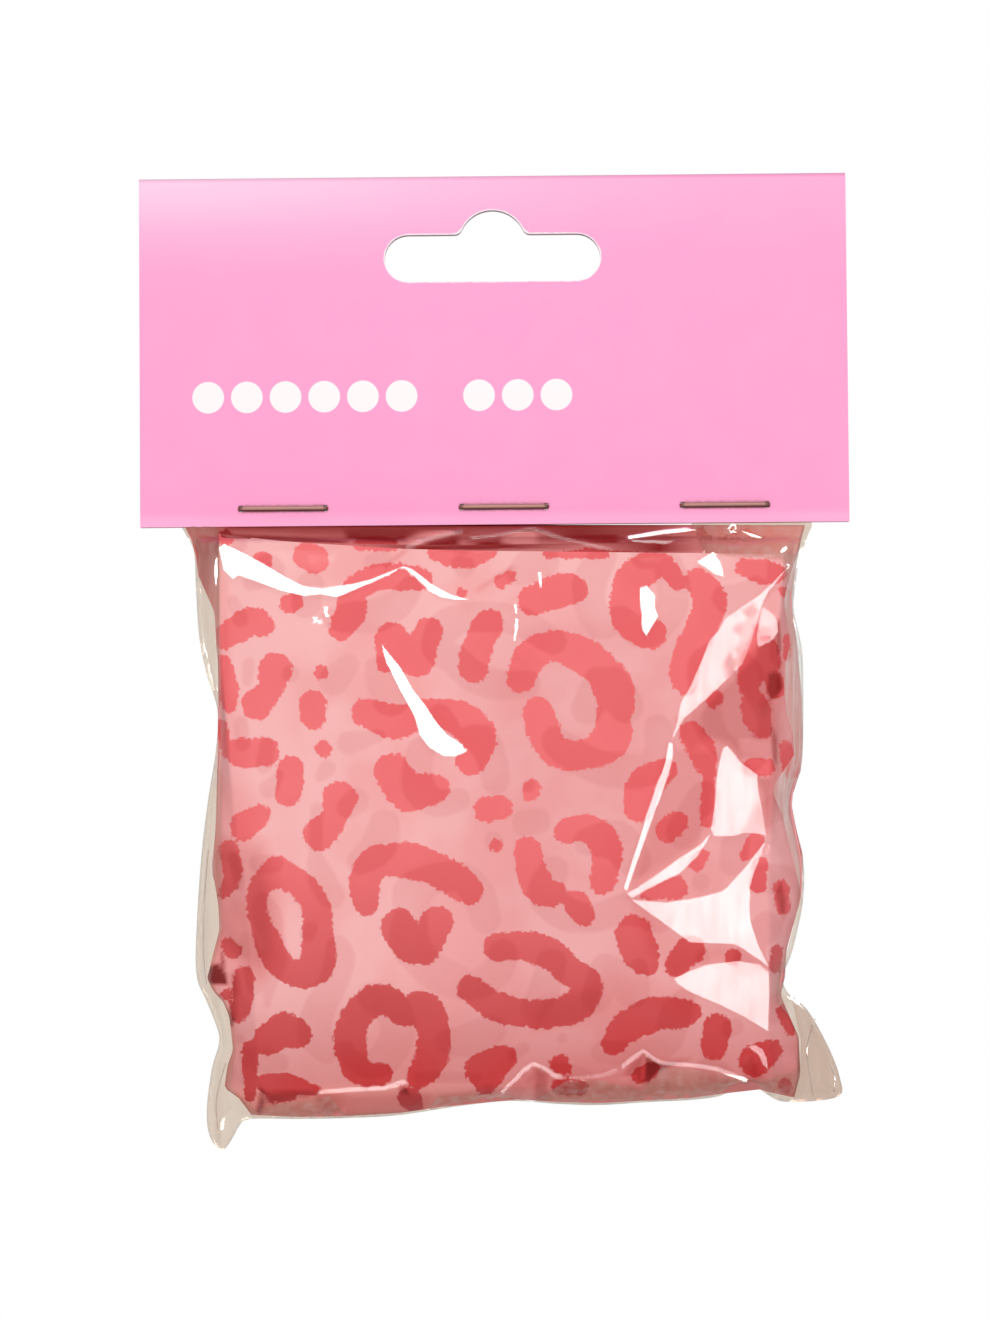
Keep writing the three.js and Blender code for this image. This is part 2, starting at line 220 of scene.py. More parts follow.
# Where the film lies tight and clear over the cap; round it the film is doubled, creased and duller
CLEAR_RING = [
    (220, 520), (690, 520), (704, 553), (786, 557), (789, 600), (796, 645), (799, 690), (799, 745),
    (796, 772), (788, 796), (787, 815), (793, 840), (799, 868), (798, 900), (793, 928), (786, 955),
    (779, 972), (777, 985), (776, 1000), (790, 1018), (797, 1037), (797, 1070), (760, 1081),
    (745, 1077), (690, 1069), (662, 1067), (643, 1090), (600, 1080), (566, 1081), (533, 1102),
    (500, 1094), (438, 1096), (428, 1109), (400, 1112), (345, 1115), (330, 1096), (266, 1106),
    (256, 1110), (244, 1098), (231, 1087), (233, 1066), (236, 1050), (234, 1034), (232, 1016),
    (227, 1003), (217, 991), (211, 978), (216, 957), (222, 930), (221, 870), (221, 690), (220, 600),
]
# The bag's lower right corner, folded over
CORNER_RING = [
    (790, 990), (860, 985), (860, 1115), (793, 1115), (793, 1098), (800, 1076), (801, 1040),
    (794, 1010),
]
# Along the bag's right side the film is wrinkled and milky
SIDE_RING = [
    (799, 550), (790, 575), (784, 600), (788, 630), (790, 645), (785, 665), (784, 690), (787, 715),
    (793, 735), (794, 755), (784, 770), (774, 785), (774, 795), (782, 815), (789, 845), (798, 880),
    (803, 900), (830, 900), (830, 550),
]
FRONT_PLIES = 12
BACK_PLIES = 6
CAP_FRONT = -5.2
CAP_HEM_FRONT = 0.2
CAP_HEM_BACK = 2.8
CAP_BACK = 5.2
FACE_COLUMNS = 190
NECK_COLUMNS = 100
BACK_COLUMNS = 62
EDGE_DRAW = 0.07
INNER_COLUMNS = 10
FOLD_STEPS = 4
FOLD_STAND = 0.5
NECK_SHARE = 0.06
NECK_ROWS = 18
CAP_ROWS = 132
LOOSE_EDGE = 5
LOOSE_SPREAD = (300, 900)
LEAF_WAVE = 0.12
CRUMPLE = 0.35
CRUMPLE_EASE = 12

# Leopard print: each spot is a brush stroke of round dabs, (x, y, radius) in squares.
# The back has the print turned half round, and so has the leaf below the front one, which is also moved.
DAB_STEP = 7
PRINT_TURN = (1010, 1640)
UNDER_SHIFT = (14, -9)
NO_PRINT = 100
PRINT = [
    [(226, 538, 8)],
    [(306, 556, 14), (315, 560, 14)],
    [(262, 562, 10)],
    [(289, 604, 9), (294, 602, 9)],
    [(226, 637, 12), (250, 622, 15), (263, 626, 12)],
    [(422, 580, 11), (385, 576, 14), (357, 588, 13), (350, 612, 16), (341, 629, 13)],
    [(358, 545, 6), (390, 545, 7)],
    [(428, 632, 15), (418, 660, 17)],
    [(392, 641, 18), (415, 660, 16)],
    [(392, 641, 18), (386, 662, 10)],
    [(275, 670, 17), (270, 690, 13), (257, 704, 16)],
    [(321, 673, 7)],
    [(313, 704, 14), (313, 716, 14)],
    [(223, 662, 8), (228, 685, 10), (229, 706, 8)],
    [(222, 724, 5), (227, 752, 6)],
    [(366, 712, 15), (395, 722, 17), (425, 714, 14), (455, 716, 17), (478, 736, 19), (470, 760, 15)],
    [(323, 749, 9)],
    [(242, 752, 15), (265, 752, 15)],
    [(291, 769, 14), (288, 792, 14)],
    [(391, 771, 18), (408, 791, 20), (436, 789, 14)],
    [(340, 799, 18), (333, 818, 13), (320, 833, 17)],
    [(244, 826, 14), (260, 815, 12)],
    [
        (277, 872, 16), (300, 884, 13), (315, 906, 15), (318, 935, 16), (317, 966, 18), (295, 974, 13),
        (277, 960, 14), (266, 938, 13), (258, 915, 10), (257, 894, 10), (266, 878, 13), (277, 872, 16),
    ],
    [
        (366, 902, 14), (364, 884, 15), (373, 862, 15), (400, 860, 18), (430, 866, 17), (456, 881, 17),
        (469, 891, 14),
    ],
    [(437, 922, 16), (424, 948, 17)],
    [(398, 926, 18), (412, 947, 18)],
    [(486, 810, 13), (499, 808, 13)],
    [(531, 788, 9), (531, 792, 9)],
    [(496, 845, 7)],
    [(528, 851, 14), (532, 872, 15), (542, 891, 16), (555, 893, 12)],
    [(577, 903, 13), (584, 915, 12)],
    [(566, 831, 12), (588, 828, 14), (605, 842, 16), (607, 864, 14), (603, 880, 14)],
    [(489, 624, 15), (478, 645, 15), (473, 668, 15)],
    [(500, 583, 6), (511, 576, 6)],
    [(435, 553, 7), (465, 558, 11), (490, 550, 8)],
    [(533, 601, 15), (558, 590, 17), (575, 590, 13)],
    [(548, 553, 6), (605, 554, 5)],
    [(462, 593, 6)],
    [
        (521, 678, 14), (527, 660, 16), (548, 646, 15), (575, 652, 18), (600, 668, 18), (615, 692, 20),
        (613, 716, 17), (611, 738, 20), (590, 752, 16), (562, 754, 15), (545, 735, 17), (538, 712, 15),
    ],
    [(678, 582, 9), (664, 566, 11), (640, 572, 17), (627, 595, 17), (630, 620, 18), (652, 634, 15)],
    [(697, 580, 13), (710, 598, 17), (704, 622, 16), (690, 650, 15), (684, 672, 16), (686, 684, 12)],
    [(745, 568, 10), (765, 572, 13), (778, 573, 9)],
    [(757, 626, 3), (755, 643, 7), (752, 660, 11), (750, 676, 13), (748, 688, 10)],
    [(768, 646, 10), (769, 658, 12), (768, 670, 10)],
    [(774, 681, 10), (776, 690, 9)],
    [(716, 698, 9), (713, 703, 7)],
    [(754, 702, 13), (757, 714, 15), (762, 728, 10)],
    [(785, 746, 6), (787, 760, 7), (791, 774, 5)],
    [(787, 638, 4), (787, 656, 4)],
    [(784, 592, 5)],
    [(692, 735, 13), (702, 752, 14), (708, 772, 8)],
    [(709, 778, 6), (708, 800, 7), (707, 822, 7)],
    [(750, 767, 9), (758, 767, 10), (766, 767, 9)],
    [(664, 770, 13), (645, 785, 18), (640, 806, 16)],
    [(668, 830, 13), (676, 824, 12)],
    [(697, 862, 9), (703, 855, 6)],
    [(645, 895, 6), (675, 888, 12)],
    [(755, 842, 10), (745, 856, 5)],
    [(760, 865, 8), (757, 886, 8)],
    [(634, 934, 19), (640, 952, 19), (648, 963, 12)],
    [(690, 950, 15), (676, 965, 12)],
    [(733, 957, 9)],
    [
        (498, 947, 14), (525, 946, 15), (552, 955, 16), (570, 972, 15), (588, 983, 15), (580, 1003, 17),
        (560, 1013, 15), (530, 1014, 15), (500, 1008, 15), (480, 995, 14), (470, 989, 13),
    ],
    [(613, 1044, 12), (625, 1028, 15), (650, 1015, 17), (680, 1013, 15), (693, 1012, 10)],
    [(717, 1028, 15), (714, 1046, 14)],
    [(756, 1060, 17), (772, 1050, 10)],
    [
        (381, 1074, 12), (360, 1072, 13), (351, 1048, 17), (354, 1020, 16), (374, 1000, 16),
        (388, 1000, 14), (404, 1011, 14), (424, 1008, 16), (434, 1030, 16), (432, 1055, 17),
        (420, 1076, 13),
    ],
    [(268, 1040, 15), (285, 1030, 18), (299, 1034, 13)],
    [(266, 1084, 10), (285, 1083, 11), (305, 1088, 8), (316, 1089, 5)],
    [(273, 1095, 8), (290, 1095, 7)],
    [(481, 1070, 17), (505, 1058, 12), (485, 1083, 12)],
    [(560, 1064, 11), (565, 1068, 8)],
    [(244, 976, 11), (244, 992, 11), (240, 1008, 10), (238, 1016, 7)],
    [(227, 995, 6)],
    [(250, 1048, 8), (249, 1065, 8), (251, 1082, 7), (250, 1096, 6)],
    [(410, 1098, 12), (414, 1106, 9)],
    [(560, 1086, 9), (580, 1088, 8)],
    [(781, 888, 8), (783, 908, 7)],
    [(777, 950, 5), (775, 968, 6)],
    [(784, 1012, 8), (791, 1030, 6)],
    [(785, 1086, 8)],
    [(228, 850, 10), (232, 875, 10), (224, 893, 6)],
    [(228, 945, 8), (233, 950, 9)],
    [(640, 1075, 8), (652, 1070, 8)],
]

# Shaded places: how dark, how far the edge blurs, and their corners in squares
LEAF_SHADES = [
    (0.50, 14, [
        (757, 648), (778, 640), (782, 690), (780, 770), (768, 830), (758, 790), (740, 762), (727, 746),
        (700, 738), (690, 722), (706, 700), (735, 672),
    ]),
    (0.55, 6, [(758, 642), (779, 634), (781, 672), (768, 674), (760, 690), (756, 668)]),
    (0.80, 4, [(768, 674), (775, 671), (781, 675), (783, 688), (776, 698), (769, 700), (767, 688)]),
    (0.58, 6, [(758, 702), (768, 698), (771, 712), (762, 718)]),
    (0.28, 4, [(738, 740), (771, 739), (772, 757), (742, 757)]),
    (0.12, 4, [(741, 758), (771, 758), (771, 777), (756, 777)]),
    (0.75, 3, [(776, 622), (780, 620), (781, 650), (777, 656)]),
    (0.75, 3, [(771, 724), (777, 738), (777, 764), (773, 762)]),
    (0.12, 8, [(764, 585), (780, 585), (781, 615), (766, 612)]),
    (0.32, 8, [(676, 718), (700, 712), (702, 745), (690, 750), (678, 740)]),
    (0.30, 14, [(671, 745), (723, 750), (711, 830), (690, 850), (630, 888), (645, 830)]),
    (0.22, 14, [
        (632, 900), (665, 924), (690, 942), (735, 944), (768, 966), (700, 965), (674, 978), (650, 950),
    ]),
    (0.85, 3, [(400, 1085), (408, 1089), (412, 1096), (405, 1101), (400, 1102)]),
    (0.50, 4, [(534, 1065), (548, 1072), (547, 1090), (552, 1102), (534, 1103)]),
    (0.80, 4, [(645, 1053), (660, 1062), (690, 1060), (672, 1066), (656, 1074), (649, 1084), (645, 1084)]),
    (0.20, 5, [(500, 1093), (516, 1080), (530, 1067), (533, 1080), (520, 1100), (503, 1100)]),
    (0.45, 4, [(622, 1074), (640, 1056), (643, 1056), (643, 1084), (636, 1078)]),
    (0.80, 4, [(260, 1086), (268, 1094), (265, 1106), (259, 1117), (256, 1112)]),
    (0.50, 4, [(264, 1092), (318, 1089), (308, 1098), (275, 1103), (266, 1106)]),
    (0.40, 6, [(315, 1094), (345, 1094), (352, 1104), (330, 1117), (318, 1110)]),
    (0.34, 6, [(345, 1096), (400, 1093), (432, 1095), (428, 1110), (400, 1115), (345, 1118)]),
    (1.00, 4, [(209, 966), (218, 963), (226, 972), (228, 985), (207, 985)]),
    (0.90, 3, [(220, 950), (223, 953), (226, 966), (221, 967)]),
    (1.00, 3, [(230, 1003), (234, 1010), (235, 1021), (232, 1027), (228, 1018)]),
    (0.40, 5, [(230, 972), (236, 970), (238, 1018), (231, 1020)]),
    (0.60, 3, [(214, 852), (219, 852), (219, 892), (216, 900)]),
    (0.35, 5, [(740, 1066), (752, 1056), (762, 1078), (752, 1084)]),
    (0.30, 4, [(404, 549), (408, 551), (386, 569), (383, 565)]),
    (0.25, 4, [(512, 565), (516, 568), (478, 592), (474, 590)]),
    (0.20, 8, [(221, 575), (228, 585), (230, 700), (222, 700)]),
    (0.14, 20, [(220, 700), (236, 700), (255, 850), (214, 850)]),
    (0.42, 24, [(208, 845), (262, 845), (277, 900), (275, 955), (262, 975), (240, 965), (208, 940)]),
    (0.50, 3, [(775, 893), (781, 880), (786, 900), (784, 922), (779, 908)]),
    (0.22, 12, [(540, 1000), (600, 984), (608, 1004), (585, 1022), (530, 1034)]),
    (0.10, 14, [(606, 975), (650, 978), (700, 996), (690, 1010), (640, 1012), (600, 1020)]),
]
PLY_SHADE = 0.08
PLY_SHADES = [
    (0.88, 30, [(140, 480), (840, 480), (840, 556), (700, 556), (236, 545), (196, 580), (140, 580)]),
    (0.58, 24, [(140, 500), (214, 532), (214, 615), (140, 615)]),
    (0.45, 30, [(690, 500), (860, 500), (860, 570), (690, 570)]),
    (0.05, 50, [(760, 480), (860, 480), (860, 590), (760, 590)]),
    (0.98, 4, [(228, 520), (640, 520), (640, 529), (228, 529)]),
    (0.98, 4, [(232, 534), (290, 537), (345, 540), (345, 545), (290, 542), (232, 538)]),
    (1.00, 6, [(358, 528), (420, 528), (405, 540), (396, 540), (372, 536)]),
    (1.00, 5, [(412, 550), (430, 541), (460, 536), (462, 548), (425, 553)]),
    (1.00, 4, [(345, 529), (400, 529), (398, 541), (345, 539)]),
    (1.00, 5, [(470, 541), (500, 540), (530, 545), (530, 551), (480, 550)]),
    (1.00, 6, [(545, 526), (620, 526), (622, 549), (600, 545), (560, 537)]),
    (1.00, 6, [(625, 540), (690, 543), (700, 553), (640, 554)]),
    (0.50, 4, [
        (402, 546), (414, 536), (430, 532), (450, 530), (462, 531), (440, 536), (424, 541), (410, 550),
    ]),
    (0.55, 5, [(500, 538), (530, 528), (540, 532), (538, 545), (510, 546)]),
]

# Film facets: the side of the light that they turn to, their gloss, and their corners in squares
FACETS = [
    ("top", 1.5, [
        (219, 548), (224, 544), (241, 552), (262, 563), (285, 577), (303, 586), (322, 589), (345, 586),
        (372, 579), (404, 566), (378, 579), (352, 591), (337, 597), (320, 594), (304, 596), (280, 590),
        (256, 581), (238, 575), (233, 579), (224, 570),
    ]),
    ("top", 1.5, [
        (404, 566), (412, 569), (420, 575), (430, 583), (440, 589), (450, 594.5), (468, 599.5),
        (455, 599.5), (440, 596.6), (430, 590.5), (420, 581.5), (411, 573),
    ]),
    ("right", 1.5, [
        (382, 645), (400, 667), (413, 690), (425, 705), (436, 722), (447, 735), (463, 745), (464, 752),
        (456, 756), (444, 756), (430, 748), (420, 735), (414, 715), (400, 690), (388, 665),
    ]),
    ("left", 0.66, [
        (791, 564), (768, 592), (762, 605), (757, 620), (752, 640), (742, 664), (726, 680), (706, 699),
        (684, 718), (672, 740), (678, 722), (681, 702), (690, 688), (700, 665), (710, 640), (718, 632),
        (726, 618), (745, 605), (764, 592),
    ]),
    ("left", 0.5, [
        (762, 606), (770, 612), (777, 620), (778, 632), (770, 642), (758, 647), (757, 635), (760, 618),
    ]),
    ("left", 1.0, [
        (669, 742), (673, 744), (671, 765), (662, 793), (650, 825), (637, 862), (627, 891), (624, 888),
        (632, 862), (645, 822), (656, 790), (665, 764),
    ]),
    ("left", 0.7, [
        (723, 748), (727, 746), (740, 762), (757, 775), (758, 790), (762, 810), (766, 835), (745, 832),
        (733, 836), (715, 836), (711, 830), (716, 800), (718, 770),
    ]),
    ("top", 0.75, [
        (711, 833), (700, 845), (680, 858), (655, 876), (635, 889), (626, 893), (632, 898), (650, 888),
        (680, 873), (697, 856), (706, 843),
    ]),
    ("top", 0.75, [
        (632, 900), (667, 903), (700, 898), (723, 892), (745, 868), (767, 839), (756, 865), (749, 890),
        (750, 920), (758, 945), (768, 966), (745, 950), (735, 944), (690, 942), (665, 924),
    ]),
    ("top", 0.7, [
        (674, 979), (690, 971), (706, 965), (738, 961), (763, 965), (769, 972), (769, 1000),
        (768, 1031), (745, 1017), (719, 1004), (686, 990),
    ]),
    ("left", 1.5, [
        (640, 588), (647, 586), (653, 594), (654, 606), (658, 616), (653, 625), (646, 636), (642, 628),
        (643, 615), (640, 600),
    ]),
    ("top", 1.3, [(697, 562), (713, 552), (720, 562), (724, 577), (715, 573)]),
    ("top", 1.3, [(538, 572), (541, 572), (542, 583), (539, 584)]),
    ("left", 1.3, [(514, 604), (516.5, 605), (517, 614), (515, 613)]),
    ("left", 1.3, [(515.5, 618), (518, 619), (517.5, 630), (515, 641), (513.5, 640), (515.5, 628)]),
    ("top", 1.3, [(324, 606), (328, 607), (327, 616), (324, 613)]),
    ("top", 1.3, [(312, 617), (318, 617), (316, 623)]),
    ("top", 1.4, [
        (628, 536), (645, 533), (665, 530), (685, 528), (696, 530), (684, 532), (664, 534), (644, 537),
        (629, 539),
    ]),
    ("top", 1.2, [(742, 531), (752, 534), (762, 537.2), (760, 538.4), (750, 535.8)]),
    ("top", 0.5, [(631, 540), (650, 540), (670, 541), (676, 539), (668, 544), (648, 543), (633, 542)]),
    ("top", 1.2, [(730, 533), (733, 530), (737, 533), (733, 532)]),
    ("top", 0.9, [(215, 562), (217, 557), (217.5, 575), (216, 586), (214.5, 574)]),
    ("top", 0.5, [(748, 1047), (755, 1045), (763, 1050), (767, 1060), (768, 1070), (763, 1063), (759, 1055)]),
    ("top", 1.2, [(780, 551), (786, 546), (787, 549), (782, 553)]),
    ("top", 0.18, [
        (405, 547), (418, 539), (440, 534), (462, 530), (463, 533), (442, 538), (422, 543), (409, 550),
    ]),
    ("top", 0.18, [
        (470, 537), (500, 533), (520, 530), (532, 527), (560, 536), (590, 543), (612, 548), (611, 551),
        (588, 546), (558, 539), (532, 531), (502, 536), (472, 540),
    ]),
    ("top", 0.4, [
        (500, 1092), (512, 1080), (523, 1068), (533, 1062), (545, 1066), (556, 1074), (564, 1077),
        (563, 1080), (554, 1078), (544, 1070), (533, 1066), (525, 1071), (514, 1083), (503, 1094),
    ]),
    ("top", 0.16, [(569, 1077), (600, 1074), (616, 1068), (618, 1072), (601, 1078), (569, 1080)]),
    ("top", 0.34, [
        (621, 1065), (632, 1056), (643, 1049), (652, 1055), (662, 1061), (690, 1063), (712, 1066),
        (732, 1072), (748, 1079), (746, 1082), (730, 1076), (711, 1070), (690, 1067), (661, 1065),
        (650, 1059), (643, 1053), (634, 1060), (623, 1069),
    ]),
    ("top", 0.45, [
        (318, 1091), (350, 1088), (385, 1086), (396, 1082), (404, 1079), (406, 1083), (397, 1087),
        (386, 1090), (350, 1092), (319, 1094),
    ]),
]
# Chips in the front film: their gloss, and their corners in squares
CHIPS = [
    (0.36, [(748, 618), (757, 616), (753, 636), (746, 655), (741, 664), (738, 661), (741, 640)]),
    (0.15, [(746, 612), (752, 607), (757, 611), (751, 617)]),
    (0.15, [(736, 628), (740, 626), (739, 633)]),
    (0.12, [(726, 662), (730, 656), (735, 672), (730, 679)]),
    (0.20, [(763, 628), (768, 629), (769, 636), (764, 638)]),
    (0.25, [(739, 648), (743, 645), (741, 661), (738, 664)]),
    (0.42, [(757, 806), (762, 812), (766, 834), (745, 831)]),
    (0.02, [(764, 662), (783, 662), (785, 704), (764, 704)]),
]
# The back film's facets
BACK_FACETS = [
    ("back", 1.2, [(300, 580), (360, 600), (430, 640), (470, 690), (420, 660), (350, 625)]),
    ("back", 1.0, [(600, 700), (660, 760), (690, 840), (660, 880), (630, 800), (590, 740)]),
    ("back", 1.1, [(330, 900), (420, 870), (520, 880), (600, 930), (500, 910), (410, 905)]),
    ("back", 1.0, [(560, 990), (640, 960), (720, 980), (740, 1020), (650, 995), (570, 1010)]),
    ("back", 0.9, [(250, 740), (290, 800), (300, 870), (275, 850), (255, 790)]),
]

# Beads in the film beside its welds, in squares
BEADS = [
    [(815, 1019), (810, 1035), (807, 1052), (810, 1075), (813, 1096)],
    [(831, 1064), (835, 1078), (834, 1092)],
    [(226, 1062), (219, 1085), (216, 1108), (218, 1132)],
    [(208, 850), (204, 900), (203, 950), (206, 985)],
]
BEAD_SIZE = 0.22

# Hem of the cap with its elastic, a loop between the middle and the back leaf
HEM_CORNER = 18
HEM_CORNER_STEPS = 13
HEM_HALF_WIDTH = 3.4
HEM_ROUND = 0.3
HEM_SEAM = 0.5
HEM_OUTSIDE = 0.25
HEM_INSIDE = 0.15
ELASTIC_HALF_WIDTH = 2.4
ELASTIC_THICKNESS = 0.6
GATHERS = 96
GATHER_STEPS = 6
GATHER_RISE = 0.42
GATHER_CORE = 0.4
# What the hem stores for the cap's finish: print, under and a middling painted shade
HEM_MARKS = (("print", 3), ("under", 10), ("painted_shade", 0.5))

random = np.random.default_rng(11)


# Drawing helpers

def camera_axes():
    """The camera's directions to the right, up and ahead."""
    yaw, pitch, roll = (math.radians(angle) for angle in (CAMERA_YAW, CAMERA_PITCH, CAMERA_ROLL))
    ahead = Vector((-math.sin(yaw) * math.cos(pitch), math.cos(yaw) * math.cos(pitch), math.sin(pitch)))
    level = Vector((math.cos(yaw), math.sin(yaw), 0))
    upright = level.cross(ahead)
    right = math.cos(roll) * level + math.sin(roll) * upright
    up = math.cos(roll) * upright - math.sin(roll) * level
    return np.array(right), np.array(up), np.array(ahead)


RIGHT, UP, AHEAD = camera_axes()
# The corners of a rectangle, going round it
TURNS = ((-1, -1), (1, -1), (1, 1), (-1, 1))
WAVES = 7
WAVE_STRETCH = (0.6, 1.7)
WAVE_PEAK = 4.5


def place(squares, depth):
    """The points, in millimetres, that the camera sees at these squares at a depth along Y."""
    squares = np.asarray(squares, float)
    across = (squares[:, :1] - FRAME_WIDTH / 2) / FOCAL_SQUARES
    down = (squares[:, 1:] - FRAME_HEIGHT / 2) / FOCAL_SQUARES
    ray = AHEAD + across * RIGHT - down * UP
    reach = (depth - CAMERA_AT[1]) / ray[:, 1]
    return CAMERA_AT + ray * reach[:, None]


def smooth_line(corners, step):
    """A Catmull-Rom curve through the corners, with a point about every step."""
    corners = np.asarray(corners, float)
    last = len(corners) - 1
    points = []
    for n in range(last):
        a, b, c, d = (corners[min(max(n + k, 0), last)] for k in (-1, 0, 1, 2))
        steps = max(1, round(np.linalg.norm(c - b) / step))
        for t in np.arange(steps) / steps:
            bend = (2 * a - 5 * b + 4 * c - d) * t ** 2 + (3 * b - a - 3 * c + d) * t ** 3
            points.append(b + 0.5 * ((c - a) * t + bend))
    points.append(corners[-1])
    return np.array(points)


def straight_line(corners, step):
    """The closed ring of corners with a point about every step."""
    corners = np.asarray(corners, float)
    points = []
    for start, stop in zip(corners, np.roll(corners, -1, axis=0)):
        steps = max(1, round(np.linalg.norm(stop - start) / step))
        points += [start + (stop - start) * n / steps for n in range(steps)]
    return np.array(points)


def distance(points, line, closed=True):
    """How far each point lies from a line of points."""
    starts = line if closed else line[:-1]
    stops = np.roll(line, -1, axis=0) if closed else line[1:]
    least = np.full(len(points), 1e9)
    for start, stop in zip(starts, stops):
        run = stop - start
        share = np.clip((points - start) @ run / max(run @ run, 1e-12), 0, 1)
        least = np.minimum(least, np.linalg.norm(points - start - share[:, None] * run, axis=1))
    return least


def inside(points, ring):
    """Whether each point lies in a closed ring."""
    found = np.zeros(len(points), bool)
    for (ax, ay), (bx, by) in zip(ring, np.roll(ring, -1, axis=0)):
        if ay == by:
            continue
        crosses = (ay > points[:, 1]) != (by > points[:, 1])
        found ^= crosses & (points[:, 0] < (bx - ax) * (points[:, 1] - ay) / (by - ay) + ax)
    return found


def covered(squares, ring):
    """Whether each square lies in a ring or on its line."""
    return inside(squares, ring) | (distance(squares, ring) < ON_LINE)


def ripples(points, length, seed):
    """Gentle waves between -1 and 1 in no order, about a length apart."""
    draw = np.random.default_rng(seed)
    angles = draw.uniform(0, 6.28, WAVES)
    stretches = draw.uniform(*WAVE_STRETCH, WAVES)
    phases = draw.uniform(0, 6.28, WAVES)
    total = np.zeros(len(points))
    for angle, stretch, phase in zip(angles, stretches, phases):
        wave = np.array([math.cos(angle), math.sin(angle)]) * 2 * math.pi / (length * stretch)
        total += np.sin(points @ wave + phase)
    return total / WAVE_PEAK


def triangles(points, edges):
    """Triangles between the points that keep the edges, as (points, edges kept, triangles)."""
    flipped = [Vector((x, -y)) for x, y in points]
    verts, lines, faces, _, kept, _ = delaunay_2d_cdt(flipped, edges, [], 0, 1e-4)
    made = np.array([(v.x, -v.y) for v in verts])
    return made, [(line, origin) for line, origin in zip(lines, kept) if origin], np.array(faces)


def ring_edges(rings):
    """The edges of closed rings whose points are numbered one ring after the other."""
    edges = []
    first = 0
    for ring in rings:
        count = len(ring)
        edges += [(first + n, first + (n + 1) % count) for n in range(count)]
        first += count
    return edges


def add_object(name, data):
    made = bpy.data.objects.new(name, data)
    bpy.context.scene.collection.objects.link(made)
    return made


def make_object(name, points, faces, *finishes):
    """A smooth mesh object from points in millimetres."""
    mesh = bpy.data.meshes.new(name)
    mesh.from_pydata((np.asarray(points) * MM).tolist(), [], np.asarray(faces).tolist())
    mesh.polygons.foreach_set("use_smooth", [True] * len(mesh.polygons))
    for finish in finishes:
        mesh.materials.append(finish)
    mesh.update()
    return add_object(name, mesh)


def sharpen_rim(piece):
    """Keeps the cut edges of a sheet crisp."""
    sheet = bmesh.new()
    sheet.from_mesh(piece.data)
    for edge in sheet.edges:
        edge.smooth = not edge.is_boundary
    sheet.to_mesh(piece.data)
    sheet.free()


def give(piece, name, values):
    """Stores a number on each point of a piece."""
    attribute = piece.data.attributes.new(name, "FLOAT", "POINT")
    attribute.data.foreach_set("value", np.asarray(values, np.float32))


# Shader helpers

class Value:
    """A socket that takes part in Python sums."""

    def __init__(self, nodes, socket):
        self.nodes = nodes
        self.socket = socket

    def __add__(self, other):
        return self.nodes.math("ADD", self, other)

    def __radd__(self, other):
        return self.nodes.math("ADD", other, self)

    def __sub__(self, other):
        return self.nodes.math("SUBTRACT", self, other)

    def __rsub__(self, other):
        return self.nodes.math("SUBTRACT", other, self)

    def __mul__(self, other):
        return self.nodes.math("MULTIPLY", self, other)

    def __rmul__(self, other):
        return self.nodes.math("MULTIPLY", other, self)

    def __truediv__(self, other):
        return self.nodes.math("DIVIDE", self, other)

    def __pow__(self, other):
        return self.nodes.math("POWER", self, other)


class Nodes:
    """A node tree and the one way to add to it."""

    def __init__(self, tree):
        self.tree = tree
        tree.nodes.clear()

    def add(self, kind, settings=None, sockets=None, out=0):
        node = self.tree.nodes.new(kind)
        for name, setting in (settings or {}).items():
            setattr(node, name, setting)
        for key, value in (sockets or {}).items():
            if isinstance(value, Value):
                self.tree.links.new(value.socket, node.inputs[key])
            else:
                node.inputs[key].default_value = value
        return Value(self, node.outputs[out]) if len(node.outputs) else node

    def math(self, operation, *values):
        return self.add("ShaderNodeMath", {"operation": operation}, dict(enumerate(values)))

    def place(self, axis):
        where = self.add("ShaderNodeTexCoord", out="Object")
        return self.add("ShaderNodeSeparateXYZ", sockets={0: where}, out=axis)

    def grain(self, scale, detail=2, stretch=(1, 1, 1)):
        where = self.add("ShaderNodeTexCoord", out="Object")
        turned = self.add("ShaderNodeMapping", sockets={"Vector": where, "Scale": stretch})
        return self.add("ShaderNodeTexNoise", sockets={"Vector": turned, "Scale": scale, "Detail": detail})

    def stored(self, name):
        return self.add("ShaderNodeAttribute", {"attribute_name": name}, out="Fac")

    def ease(self, value, low, high):
        """From 0 at the low value to 1 at the high one, slowly at both ends."""
        return self.add(
            "ShaderNodeMapRange",
            {"interpolation_type": "SMOOTHSTEP"},
            {"Value": value, "From Min": low, "From Max": high},
        )

    def mix(self, share, first, second, blend="MIX"):
        return self.add(
            "ShaderNodeMix",
            {"data_type": "RGBA", "blend_type": blend},
            {0: share, 6: first, 7: second},
            out=2,
        )

    def tint(self, share, colour, by):
        return self.mix(share, colour, by, "MULTIPLY")

    def bump(self, height, strength, reach):
        return self.add("ShaderNodeBump", sockets={"Height": height, "Strength": strength, "Distance": reach})

    def principled(self, sockets):
        return self.add("ShaderNodeBsdfPrincipled", sockets=sockets)

    def surface(self, shader):
        self.add("ShaderNodeOutputMaterial", sockets={"Surface": shader})


def new_finish(name):
    material = bpy.data.materials.new(name)
    material.use_nodes = True
    return material, Nodes(material.node_tree)


# Finishes

